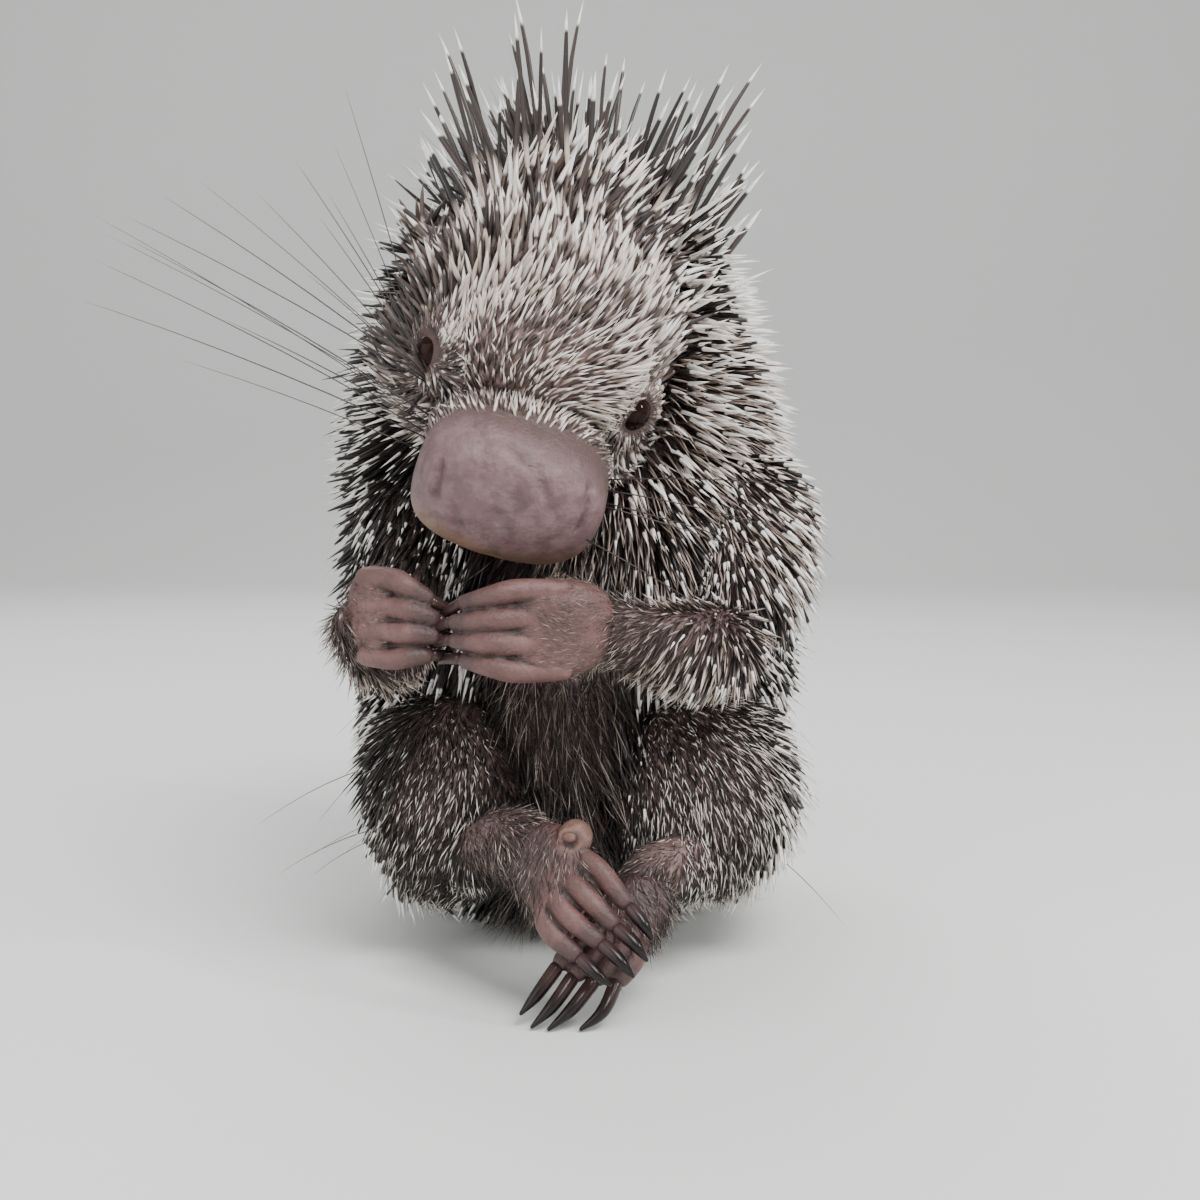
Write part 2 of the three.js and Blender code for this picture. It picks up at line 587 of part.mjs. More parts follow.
// A quill is a thin three-sided cone from its sunk root to its tip; a long one bends a little.
// An even one keeps that much of its thickness all the way, and then comes to its point.
function quill({ root, direction, length, half, bend = 0, rings = 1, even = 0 }) {
  const whole = length + SINK;
  const shape = new THREE.ConeGeometry(half, whole, QUILL_SIDES, rings).translate(0, whole / 2 - SINK, 0);
  const position = shape.attributes.position;
  for (let i = 0; i < position.count; i++) {
    const share = Math.max(position.getY(i), 0) / length;
    const widen = share < 0.999 ? mix(1, even / Math.max(1 - share, 0.05), share * Math.sign(even)) : 1;
    position.setX(i, position.getX(i) * widen);
    position.setZ(i, position.getZ(i) * widen + bend * share * share);
  }
  shape.applyQuaternion(new THREE.Quaternion().setFromUnitVectors(vec(0, 1, 0), direction));
  return solidOf(shape.translate(root.x, root.y, root.z));
}

// Random places on a solid, spaced apart, with their normals.
function scatter(solid, spacing, roll, wanted) {
  const { vertProperties: corners, triVerts } = solid.getMesh();
  const corner = (i) => vec(...corners.slice(3 * triVerts[i], 3 * triVerts[i] + 3));
  const faces = [];
  let area = 0;
  for (let i = 0; i < triVerts.length; i += 3) {
    const [a, b, c] = [corner(i), corner(i + 1), corner(i + 2)];
    const cross = b.clone().sub(a).cross(c.clone().sub(a));
    area += cross.length() / 2;
    faces.push({ a, b, c, normal: cross.normalize(), upTo: area });
  }
  const kept = [];
  const tries = Math.round((14 * area) / spacing ** 2);
  for (let n = 0; n < tries; n++) {
    const pick = roll() * area;
    const face = faces.find(({ upTo }) => upTo >= pick);
    const root = Math.sqrt(roll());
    const share = roll();
    const place = face.a.clone().multiplyScalar(1 - root);
    place.addScaledVector(face.b, root * (1 - share)).addScaledVector(face.c, root * share);
    if (!wanted(place, face.normal)) continue;
    const room = spacing * mix(0.9, 1.1, roll());
    if (kept.every((other) => other.place.distanceToSquared(place) > room * room)) {
      kept.push({ place, normal: face.normal });
    }
  }
  return kept;
}

// Shortest distance between two straight stretches
function apart(a, b, c, d) {
  const u = b.clone().sub(a);
  const v = d.clone().sub(c);
  const w = a.clone().sub(c);
  const [uu, uv, vv, uw, vw] = [u.dot(u), u.dot(v), v.dot(v), u.dot(w), v.dot(w)];
  const slant = uu * vv - uv * uv;
  let s = slant > 1e-6 ? THREE.MathUtils.clamp((uv * vw - vv * uw) / slant, 0, 1) : 0;
  const t = THREE.MathUtils.clamp((uv * s + vw) / vv, 0, 1);
  s = THREE.MathUtils.clamp((uv * t - uw) / uu, 0, 1);
  return w.addScaledVector(u, s).addScaledVector(v, -t).length();
}

const grown = []; // every quill so far: node, root, tip and half width
function clearOfOthers(name, root, tip, half) {
  return grown.every(
    (other) => other.name === name || apart(root, tip, other.root, other.tip) > half + other.half + CLEAR,
  );
}

function dress(name, { spacing, seed, field, wanted = () => true }) {
  const roll = dice(seed);
  const node = fitted.get(name);
  const others = [...rooms].filter(([other]) => other !== name).flatMap(([, solids]) => solids);
  const own = name === "neck" || name === "torso" ? "trunk" : name;
  const near = limbsOf.filter(([other]) => other !== own).map(([, limb]) => limb);
  const open = (place, normal) => {
    const cutFace = Math.abs(normal.z) > 0.99 && Math.abs(place.z - NECK_FROM) < 1;
    if (cutFace || place.z < LOWEST_ROOT || !wanted(place, normal)) return false;
    return near.every((limb) => limb.distance(place) > ROOT_CLEAR);
  };
  const quills = [];
  for (const { place, normal } of scatter(node.solid, spacing, roll, open)) {
    const { direction, length, half } = field(place, normal, roll);
    direction.normalize();
    const stand = direction.dot(normal);
    if (stand < LEAST_STAND) direction.addScaledVector(normal, 1.2 * LEAST_STAND - stand).normalize();
    const lowest = FLOOR_CLEAR + half;
    if (place.z + length * direction.z < lowest) direction.setZ((lowest - place.z) / length).normalize();
    for (const share of [1, 0.7, 0.45]) {
      const reach = length * share;
      const tip = place.clone().addScaledVector(direction, reach);
      const blocked = [0.35, 0.7, 1].some((along) => {
        const point = place.clone().addScaledVector(direction, reach * along);
        return near.some((limb) => limb.distance(point) < half * (1 - along) + QUILL_CLEAR);
      });
      if (blocked || !clearOfOthers(name, place, tip, half)) continue;
      const bent = reach > LONG_QUILL ? { bend: 0.06 * reach, rings: 2 } : {};
      quills.push(quill({ root: place, direction, length: reach, half, ...bent }));
      grown.push({ name, root: place, tip, half });
      break;
    }
  }
  const clear = joined(quills).subtract(joined([slab(-100, 0), ...others]));
  node.solid = largest(joined([node.solid, clear]));
}

// No quills round the eyes, or below and behind the cheeks
function headOpen(place, normal) {
  const from = place.clone().sub(HEAD.origin);
  const clearOfEyes = [-1, 1].every((way) => place.distanceTo(eyeAt(way)) > 1.75 * EYE_RADIUS);
  return clearOfEyes && from.dot(crown) > -26;
}

// Whiskers sweep back from the sides of the muzzle. Each is its root and its tip, [forward, left, up] in
// the head's axes on the animal's right, and the left has a shorter set that follows the cheek.
const WHISKER_HALF = 0.42;
const WHISKERS = {
  right: [
    [[34, -21, -7], [10, -135, 48]],
    [[31, -21, -4], [2, -112, 62]],
    [[28, -22, -10], [-6, -122, 26]],
    [[36, -21, -13], [22, -104, 6]],
    [[27, -19, 1], [-12, -84, 76]],
    [[38, -20, -17], [30, -84, -10]],
    [[24, -17, 4], [-22, -62, 66]],
    [[32, -20, -20], [12, -74, -28]],
  ],
  left: [
    [[34, 21, -8], [42, 82, 2]],
    [[30, 21, -4], [40, 70, 24]],
    [[38, 20, -15], [50, 66, -22]],
  ],
};
function addWhiskers() {
  const node = fitted.get("muzzle");
  const others = [...rooms].filter(([other]) => other !== "muzzle").flatMap(([, solids]) => solids);
  const whiskers = Object.values(WHISKERS).flat().map(([from, to]) => {
    const root = inHead(...from);
    const tip = inHead(...to);
    const length = root.distanceTo(tip);
    grown.push({ name: "muzzle", root, tip, half: 2 * WHISKER_HALF });
    const direction = tip.clone().sub(root).normalize();
    return quill({ root, direction, length, half: WHISKER_HALF, bend: 0.07 * length, rings: 4, even: 0.7 });
  });
  node.solid = largest(joined([node.solid, joined(whiskers).subtract(joined(others))]));
}
addWhiskers();

// The coat, node by node
const outer = (place, normal) => normal.z > -0.75;
dress("head", { spacing: 9, seed: 11, field: headQuill, wanted: headOpen });
dress("neck", { spacing: 10.5, seed: 12, field: trunkQuill });
dress("torso", { spacing: 12.5, seed: 13, field: trunkQuill, wanted: outer });
for (const [name, way] of Object.entries(SIDES)) {
  const upperField = limbQuill(vec(0.4 * way, -0.1, -1), 27, 20);
  const lowerField = limbQuill(vec(0.1 * way, -0.4, -1), 26, 13);
  const thighField = limbQuill(vec(0.4 * way, -0.2, -1), 22, 15);
  dress("upper_arm_" + name, { spacing: 12, seed: 20 + way, field: upperField });
  dress("forearm_" + name, { spacing: 11, seed: 30 + way, field: lowerField });
  dress("thigh_" + name, { spacing: 12, seed: 40 + way, field: thighField });
}
dress("tail_root", { spacing: 13, seed: 50, field: limbQuill(vec(-0.35, 1, 0.1), 22, 16) });

const group = new THREE.Group();
for (const [name, { solid, material }] of fitted) {
  const mesh = new THREE.Mesh(geometryOf(solid), material);
  mesh.name = name;
  group.add(mesh);
}
// The origin is at the middle of the whole model's footprint, on the floor.
const middle = new THREE.Box3().setFromObject(group).getCenter(vec(0, 0, 0));
group.position.set(-middle.x, -middle.y, 0);
export default group;
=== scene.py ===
# %% [markdown]
# A prehensile-tailed porcupine, life size, as a museum shows it. It sits upright on its rump with the
# hind feet crossed, its hands held up under the blunt nose and the tail in a curl behind.
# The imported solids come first. They are the fixed frame: every piece below is made in the same metres
# and the same place, so nothing is fitted afterwards.

# %% Load the frame
import math

import bpy
import numpy as np
from mathutils import Matrix, Vector
from mathutils.bvhtree import BVHTree
from mathutils.kdtree import KDTree


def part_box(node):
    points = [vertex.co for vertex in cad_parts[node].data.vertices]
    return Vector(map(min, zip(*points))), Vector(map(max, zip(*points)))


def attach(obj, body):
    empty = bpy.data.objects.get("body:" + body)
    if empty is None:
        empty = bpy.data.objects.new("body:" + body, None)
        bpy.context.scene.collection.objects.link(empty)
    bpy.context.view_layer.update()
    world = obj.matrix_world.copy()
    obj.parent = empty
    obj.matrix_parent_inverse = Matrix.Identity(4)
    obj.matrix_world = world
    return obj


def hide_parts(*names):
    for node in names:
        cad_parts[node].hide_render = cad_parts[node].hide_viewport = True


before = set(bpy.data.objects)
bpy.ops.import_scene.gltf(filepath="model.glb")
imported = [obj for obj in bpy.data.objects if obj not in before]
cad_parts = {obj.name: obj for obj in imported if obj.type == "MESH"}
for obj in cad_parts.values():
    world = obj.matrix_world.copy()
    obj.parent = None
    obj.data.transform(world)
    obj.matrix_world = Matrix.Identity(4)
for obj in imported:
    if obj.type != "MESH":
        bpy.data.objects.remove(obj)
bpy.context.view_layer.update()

bpy.ops.object.select_all(action="DESELECT")

# %% [markdown]
# An animal is easiest to describe by the lines of its limbs, in millimetres, from a point on the floor
# under its chest. The same few sizes drive the solids. The left eye is the one place that both share,
# so its box in the frame tells how far the two origins lie apart.

# %% Driving sizes in millimetres
MM = 0.001
SEATED_HEIGHT = 236
BODY_HALF_WIDTH = 69
BODY_HALF_DEPTH = 66
BODY_X = -8
HEAD_HALF_WIDTH = 38
EYE_SPACING = 57
EYE_RADIUS = 6
TAIL_LENGTH = 330
FUR_DEPTH = 3.2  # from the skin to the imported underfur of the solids
SIDES = {"left": 1, "right": -1}

# %% The head's own axes
HEAD_ORIGIN = np.array([-19.0, -72.0, 173.0])
HEAD_YAW = math.radians(3)
HEAD_PITCH = math.radians(37)
HEAD_ROLL = math.radians(20)


def unit(v):
    v = np.asarray(v, float)
    return v / np.maximum(np.linalg.norm(v, axis=-1, keepdims=True), 1e-9)


FORWARD = np.array([
    -math.sin(HEAD_YAW) * math.cos(HEAD_PITCH),
    -math.cos(HEAD_YAW) * math.cos(HEAD_PITCH),
    -math.sin(HEAD_PITCH),
])
level = Vector((math.cos(HEAD_YAW), -math.sin(HEAD_YAW), 0))
LEFT = np.array(Matrix.Rotation(-HEAD_ROLL, 3, Vector(FORWARD)) @ level)
CROWN = np.cross(FORWARD, LEFT)


def in_head(forward, left, up):
    return HEAD_ORIGIN + forward * FORWARD + left * LEFT + up * CROWN


def head_places(at):
    """How far forward, left and up in the head each point is."""
    local = at - HEAD_ORIGIN
    return local @ FORWARD, local @ LEFT, local @ CROWN


def eye_at(way):
    return in_head(1, way * EYE_SPACING / 2, 2)


EYE_FACING = {1: (0.68, 0.52, 0.2), -1: (0.52, 0.8, 0.1)}  # forward, outwards and up, for each side


def eye_facing(way):
    forward, outwards, up = EYE_FACING[way]
    return unit(forward * FORWARD + outwards * way * LEFT + up * CROWN)


eye_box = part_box("eye_left")
SHIFT = np.array(eye_box[0] + eye_box[1]) / 2 / MM - eye_at(1)
SHIFT[2] = 0
print("the frame lies", np.round(SHIFT, 2), "mm from the limb lines' origin")


def placed(points):
    """Millimetres along the limb lines to metres in the frame."""
    return (np.asarray(points, float) + SHIFT) * MM


# %% [markdown]
# A limb is a smooth line through a few stations, and at each station a half width and a half depth.
# Such a shape could be extruded ring by ring. A quicker way starts from one UV sphere, which is closed
# and has its poles at the two ends, and draws its rings out along the line, so that every limb ends
# round, and the coat can later ask the same line which way is down the limb.

# %% A limb along a smooth line
LINE_STEPS = 401


def line_through(knots, share, even_speed=True):
    """Points at the shares (0 to 1) of a smooth line through the knots."""
    knots = np.asarray(knots, float)
    padded = np.vstack([2 * knots[0] - knots[1], knots, 2 * knots[-1] - knots[-2]])
    spot = np.clip(share, 0, 1) * (len(knots) - 1)
    first = np.minimum(spot.astype(int), len(knots) - 2)
    u = (spot - first)[:, None]
    a, b, c, d = (padded[first + i] for i in range(4))
    start, stop = (c - a) / 2, (d - b) / 2
    if even_speed:
        pairs = ((a, b), (b, c), (c, d))
        ab, bc, cd = (np.linalg.norm(q - p, axis=1, keepdims=True) ** 0.5 for p, q in pairs)
        start = ((b - a) / ab - (c - a) / (ab + bc) + (c - b) / bc) * bc
        stop = ((c - b) / bc - (d - b) / (bc + cd) + (d - c) / cd) * bc
    bent = 2 * b - 2 * c + start + stop
    return b + u * start + u**2 * (3 * (c - b) - 2 * start - stop) + u**3 * bent


class Limb:
    """A tube through stations of [x, y, z, half width, half depth], in millimetres.

    Side is the way that the width runs, blunt is the length of each round end in half widths, and
    square is 2 for an oval section and more for a squarer one.
    """

    def __init__(self, stations, side=(1, 0, 0), blunt=(1, 1), square=2):
        stations = np.asarray(stations, float)
        self.side, self.square, self.stations = np.asarray(side, float), square, stations
        shares = np.linspace(0, 1, LINE_STEPS)
        steps = np.linalg.norm(np.diff(line_through(stations[:, :3], shares), axis=0), axis=1)
        self.reached = np.concatenate([[0], np.cumsum(steps)])
        self.length = self.reached[-1]
        self.caps = blunt[0] * stations[0, 3:].mean(), blunt[1] * stations[-1, 3:].mean()

    def slices(self, distance, grow=0):
        """Centre, three axes, half width and half depth at distances along the limb."""
        inside = np.clip(distance, 0, self.length)
        share = np.interp(inside, self.reached, np.linspace(0, 1, LINE_STEPS))
        line = self.stations[:, :3]
        tangent = unit(line_through(line, share + 1e-3) - line_through(line, share - 1e-3))
        centre = line_through(line, share) + tangent * (distance - inside)[:, None]
        across = unit(self.side - tangent * (tangent @ self.side)[:, None])
        radii = line_through(self.stations[:, 3:], share, even_speed=False) + grow
        for room, cap in zip((distance, self.length - distance), self.caps):
            short = 1 - np.clip((room + grow) / max(cap + grow, 0.1), 0, 1)
            radii = radii * np.sqrt(1 - short**2)[:, None]
        return centre, tangent, across, np.cross(tangent, across), radii

    def around(self, ball, grow=0):
        """The corners of a unit ball, drawn out along the limb."""
        distance = (1 - ball[:, 2]) / 2 * (self.length + 2 * grow) - grow
        centre, _, across, deep, radii = self.slices(distance, grow)
        turn = unit(ball[:, :2])
        bulge = np.maximum((np.abs(turn) ** self.square).sum(1), 0.1) ** (-1 / self.square)
        out = turn * radii * bulge[:, None]
        return centre + across * out[:, :1] + deep * out[:, 1:]


# %% The stations of every limb
H, W, D, K = SEATED_HEIGHT, BODY_HALF_WIDTH, BODY_HALF_DEPTH, HEAD_HALF_WIDTH


def head_limb(stations, **options):
    return Limb([[*in_head(*s[:3]), *s[3:]] for s in stations], side=LEFT, **options)


trunk = Limb(
    [
        [BODY_X + 3, 12, -0.035 * H, 0.6 * W, 0.66 * D],
        [BODY_X + 2, 19, 0.1 * H, 0.88 * W, 0.95 * D],
        [BODY_X + 1, 18, 0.25 * H, W, 1.06 * D],
        [BODY_X, 13, 0.42 * H, W, 1.05 * D],
        [BODY_X - 1, 5, 0.6 * H, 0.95 * W, 0.96 * D],
        [BODY_X - 1, -5, 0.75 * H, 0.8 * W, 0.8 * D],
        [BODY_X - 1, -16, 0.87 * H, 0.63 * W, 0.64 * D],
        [BODY_X - 1, -27, 0.99 * H, 0.45 * W, 0.42 * D],
    ],
    blunt=(1, 0.9),
    square=2.2,
)
nape = Limb([
    [BODY_X - 2, -12, 0.84 * H, 38, 34],
    [-14, -32, 0.81 * H, 36, 35],
    [-17, -50, 0.77 * H, 32, 33],
])
belly = Limb([
    [BODY_X - 2, -34, 0.44 * H, 30, 20],
    [BODY_X - 2, -47, 0.31 * H, 25, 19],
    [BODY_X - 2, -48, 0.19 * H, 17, 13],
])
skull = head_limb(
    [
        [-58, 0, 2, 0.7 * K, 0.64 * K],
        [-38, 0, 5, K, 0.92 * K],
        [-14, 0, 4, 1.02 * K, 0.96 * K],
        [4, 0, 1, 0.86 * K, 0.83 * K],
        [20, 0, -3, 0.66 * K, 0.64 * K],
    ],
    blunt=(0.9, 0.7),
)
cheeks = {
    name: head_limb([[-40, w * 25, -8, 15, 17], [-14, w * 23, -12, 19, 19], [10, w * 15, -15, 14, 13]])
    for name, w in SIDES.items()
}
muzzle = head_limb(
    [[6, 0, -10, 22, 18], [22, 0, -12.5, 25.5, 20.5], [36, 0, -15.5, 26, 21], [49, 0, -19.5, 21.5, 16.5]],
    blunt=(0.8, 0.7),
    square=2.9,
)
jaw = head_limb([[-20, 0, -26, 18, 11], [8, 0, -34, 14, 9], [27, 0, -38, 10, 7]])
print("trunk, skull and muzzle in mm", [round(limb.length) for limb in (trunk, skull, muzzle)])

# %% Arms and hands
DIGITS = 4
UPPER_ARM = ((27, 28), (24, 24), (16, 16))  # the half width and half depth at each station
FOREARM = ((14, 14), (14, 13), (11.5, 8))
WRIST = ((9, 8), (9, 6.5), (9, 5.5))
PALM = ((10, 7), (13, 6.4), (13.6, 3.9), (11.6, 2.4))
FINGER = ((2.8, 2.8), (3.2, 3.4), (2.9, 3.1), (2.1, 2.3))
FINGER_CLAW, TOE_CLAW = 1.5, 2.05
FINGER_PITCH = 7.4
FINGERS_GATHER = 0.48  # how much closer the fingers stand at their tips
GATHER_BY_JOINT = (0.4, 0.8, 1, 1)
arm_joints = {
    "left": [[40, -12, 0.66 * H], [44, -32, 128], [42, -59, 100], [26, -77, 99], [3, -88, 104]],
    "right": [[-48, -14, 0.66 * H], [-53, -33, 127], [-54, -55, 98], [-62, -69, 100], [-66, -81, 107]],
}
forearm_side = {"left": (0.3, 0, 1), "right": (1, 0.3, 0)}
hand_plan = {
    "left": {"knuckles": [-17, -100, 106], "reach": [[-13, -3, 0], [-24, 2.5, -0.5]],
             "claw": [[-29.5, 8, -2.5], [-31.5, 14, -5]]},
    "right": {"knuckles": [-60, -91, 109], "reach": [[9, -5.5, -1], [17, -4, -3]],
              "claw": [[22, 0.5, -5], [23.5, 6.5, -8]]},
}
upper_arms, forearms, wrists, palms, fingers, claws = {}, {}, {}, {}, {}, {}


def tube(points, sizes, **options):
    return Limb([[*point, *size] for point, size in zip(points, sizes)], **options)


def claw_limb(root, bend, tip, half):
    """A claw tapers to a point, and its root lies inside the finger or toe."""
    root, bend = np.array(root, float), np.array(bend, float)
    inner = root - 0.25 * (bend - root)
    return tube([inner, bend, tip], [(half, half * 1.15), (half * 0.85, half), (half * 0.22, half * 0.26)])


for name, (shoulder, middle, elbow, halfway, wrist) in arm_joints.items():
    side, plan = forearm_side[name], hand_plan[name]
    upper_arms[name] = tube([shoulder, middle, elbow], UPPER_ARM)
    forearms[name] = tube([elbow, halfway, wrist], FOREARM, side=side)
    knuckles = np.array(plan["knuckles"], float)
    across, ahead, _ = knuckles - wrist
    palm_middle = np.array([wrist[0] + 0.55 * across, wrist[1] + 0.6 * ahead, knuckles[2] + 0.5])
    wrists[name] = tube([halfway, wrist, palm_middle], WRIST, side=side)
    web = knuckles + 0.55 * np.array(plan["reach"][0]) + [0, 1.4, 0]
    palms[name] = tube([wrist, palm_middle, knuckles, web], PALM, side=(0, 0, 1), blunt=(1, 0.5), square=2.5)
    fingers[name], claws["hand_" + name] = [], []
    for i in range(DIGITS):
        rank = i - (DIGITS - 1) / 2
        size = 0.88 if abs(rank) > 1 else 1
        pitch = rank * FINGER_PITCH * (1 + 0.05 * abs(rank))
        near, far, bend, tip = (
            knuckles + np.array([dx * size, dy * size, dz + pitch * (1 - FINGERS_GATHER * share)])
            for (dx, dy, dz), share in zip(plan["reach"] + plan["claw"], GATHER_BY_JOINT)
        )
        root = knuckles + np.array([-0.75 * plan["reach"][0][0], 1.8, 0.9 * pitch])
        middle = (knuckles + near) / 2 + np.array([0, -0.3, pitch / 2])
        fingers[name].append(tube([root, middle, near, far], FINGER, side=(0, 0, 1)))
        claws["hand_" + name].append(claw_limb(far, bend, tip, FINGER_CLAW))

# %% Legs and feet
TOE = ((2.5, 2.8), (3.0, 3.6), (2.5, 2.7))
leg_plan = {
    "right": {
        "thigh": [[-26, 4, 52, 34, 42], [-42, -30, 51, 30, 37], [-44, -74, 49, 24, 29]],
        "shank": [[-44, -40, 34, 12, 13], [-36, -66, 38, 12, 13], [-24, -84, 43, 10.5, 10.5]],
        "ankle": [-22, -86, 45],
        "instep": [-14, -96, 41],
        "knuckles": [[-3, -101, 43], [-6.5, -104, 37.5], [-10.5, -105, 32], [-14.5, -104, 27]],
        "tips": [[8, -108, 32.5], [4.7, -110.5, 27.5], [0.8, -111.5, 23.5], [-5, -110.5, 19.5]],
        "bends": [[11.5, -111, 29], [9.5, -113.5, 24], [5.5, -114.5, 20], [-1, -113.5, 16.5]],
        "points": [[14, -112.5, 25], [12.5, -114.5, 20], [9, -115.5, 16], [3, -114.5, 13.5]],
        "pad": [-6.3, -98, 50],
        "width": 11,
    },
    "left": {
        "thigh": [[18, 4, 52, 34, 42], [28, -30, 51, 33, 37], [26, -73, 49, 30, 29]],
        "shank": [[36, -38, 33, 12, 13], [27, -64, 34, 12, 13], [14, -81, 34, 10.5, 10.5]],
        "ankle": [13, -82, 33],
        "instep": [11, -90, 28],
        "knuckles": [[10, -98.5, 17], [5, -99.5, 18], [0, -99.5, 19], [-5, -98.5, 21]],
        "tips": [[4, -105, 10.5], [-2.3, -105.5, 11], [-7.8, -105, 12], [-12, -103.5, 14.5]],
        "bends": [[0.5, -110, 4.8], [-8, -110, 5.2], [-13, -109.5, 6], [-17, -107, 8.5]],
        "points": [[-5.5, -112, 0.6], [-14, -112, 0.6], [-18.5, -111, 0.8], [-21.5, -108.5, 3.5]],
        "pad": [0, -83, 34],
        "width": 8.5,
    },
}
thighs, shanks, ankles, insteps, toes = {}, {}, {}, {}, {}
for name, plan in leg_plan.items():
    thighs[name] = Limb(plan["thigh"], blunt=(1, 0.85))
    shanks[name] = Limb(plan["shank"])
    knuckles, width, instep = np.array(plan["knuckles"], float), plan["width"], plan["instep"]
    heel = [plan["shank"][1][:3], plan["ankle"], instep]
    ankles[name] = tube(heel, [(9, 9), (0.8 * width, 8.5), (8, 6.5)])
    front = knuckles.mean(0) * 0.6 + np.array(instep) * 0.4
    web = (knuckles.mean(0) + np.array(plan["tips"]).mean(0)) / 2 + [0, 2, 0]
    sole = [(0.85 * width, 8.5), (width, 6.8), (width, 4.4), (9.6, 2.4)]
    insteps[name] = tube([plan["ankle"], instep, front, web], sole, side=unit(knuckles[0] - knuckles[-1]),
                         blunt=(1, 0.5), square=2.4)
    toes[name], claws["foot_" + name] = [], []
    for knuckle, tip, bend, point in zip(knuckles, plan["tips"], plan["bends"], plan["points"]):
        root = knuckle + 0.9 * (np.array(instep) - knuckle) + [0, 1, 0]
        toes[name].append(tube([root, knuckle, tip], TOE))
        claws["foot_" + name].append(claw_limb(tip, bend, point, TOE_CLAW))

# %% The tail
TAIL_ROOT = np.array([BODY_X + 4, 72.0, 0.0])
TAIL_HEADING, TAIL_TURN, TAIL_TIGHTEN = 128, 300, 1.5
TAIL_HALF_ROOT, TAIL_HALF_TIP, TAIL_FLAT = 18, 5.2, 0.7
TAIL_STATIONS = 12


def tail_stations():
    steps = 120
    place, stations = TAIL_ROOT.copy(), []
    for i in range(steps + 1):
        share = i / steps
        half = TAIL_HALF_ROOT + (TAIL_HALF_TIP - TAIL_HALF_ROOT) * share**0.75
        heading = math.radians(TAIL_HEADING - TAIL_TURN * share**TAIL_TIGHTEN)
        if i % (steps // TAIL_STATIONS) == 0:
            stations.append([place[0], place[1], half - TAIL_FLAT, half, half])
        place = place + np.array([math.cos(heading), math.sin(heading), 0]) * TAIL_LENGTH / steps
    return stations


tail = Limb([[BODY_X + 4, 52, 22, 19, 19], *tail_stations()], side=(0, 0, 1))
print("tail", round(tail.length), "mm,", sum(len(row) for row in claws.values()), "claws")

# %% [markdown]
# The skin is one closed surface, so that no seam shows where a leg meets the body. A sculptor would
# press lumps of clay together and smooth the joins. Here each limb is a drawn-out sphere, a Remesh
# modifier in voxel mode melts the overlapping limbs into one, and a Smooth modifier rounds the joins.
# Hands and feet need smaller voxels than the back does, so the clay is melted in three lots, and
# a Boolean modifier then unites them. Decimate takes the spare faces off each lot.

# %% Helpers for clay
def active(obj):
    bpy.ops.object.select_all(action="DESELECT")
    obj.select_set(True)
    bpy.context.view_layer.objects.active = obj
    return obj


def corners_of(obj):
    flat = np.empty(len(obj.data.vertices) * 3, np.float32)
    obj.data.vertices.foreach_get("co", flat)
    return flat.reshape(-1, 3).astype(float)


def move_corners(obj, corners):
    obj.data.vertices.foreach_set("co", np.asarray(corners, np.float32).ravel())
    obj.data.update()


def modify(obj, kind, **settings):
    """Adds a modifier with these settings and applies it."""
    modifier = active(obj).modifiers.new(kind.title(), kind)
    for key, value in settings.items():
        setattr(modifier, key, value)
    bpy.ops.object.modifier_apply(modifier=modifier.name)
    return obj


def join(objects, name):
    bpy.ops.object.select_all(action="DESELECT")
    for obj in objects:
        obj.select_set(True)
    bpy.context.view_layer.objects.active = objects[0]
    bpy.ops.object.join()
    objects[0].name = name
    return objects[0]


def face_out(obj):
    active(obj)
    bpy.ops.object.mode_set(mode="EDIT")
    bpy.ops.mesh.select_all(action="SELECT")
    bpy.ops.mesh.normals_make_consistent(inside=False)
    bpy.ops.object.mode_set(mode="OBJECT")
    return obj


lumps_by_kind = {}  # the corners and faces of each kind of limb, before they melt into one


def remember(obj, kind):
    faces = [tuple(face.vertices) for face in obj.data.polygons]
    lumps_by_kind.setdefault(kind, []).append((corners_of(obj), faces))


def clay_limb(limb, kind, grow=0, segments=32, rings=32):
    bpy.ops.mesh.primitive_uv_sphere_add(segments=segments, ring_count=rings, radius=1)
    obj = bpy.context.object
    move_corners(obj, placed(limb.around(corners_of(obj), grow)))
    remember(obj, kind)
    return obj


def clay_ball(centre, radii, facing=(0, 0, 1), kind=None):
    """An ellipsoid in millimetres, its third radius along facing."""
    bpy.ops.mesh.primitive_uv_sphere_add(segments=32, ring_count=20, radius=1)
    obj = bpy.context.object
    turn = Vector(facing).to_track_quat("Z", "Y").to_matrix()
    shaped = corners_of(obj) * np.array(radii) @ np.array(turn).T
    move_corners(obj, placed(shaped + np.array(centre)))
    if kind:
        remember(obj, kind)
    return obj


def clay_ring(centre, radii, half, facing, tilt=0.0):
    """An oval ring in millimetres. Its radii lie across and up before it is tilted about facing."""
    bpy.ops.mesh.primitive_torus_add(
        major_segments=40, minor_segments=16, major_radius=1, minor_radius=half)
    obj = bpy.context.object
    ring = corners_of(obj)
    around = unit(ring[:, :2])
    thick = np.linalg.norm(ring[:, :2], axis=1, keepdims=True) - 1
    ring[:, :2] = around * (np.array(radii) + thick)
    turn = Vector(facing).to_track_quat("Z", "Y").to_matrix() @ Matrix.Rotation(tilt, 3, "Z")
    move_corners(obj, placed(ring @ np.array(turn).T + np.array(centre)))
    return obj


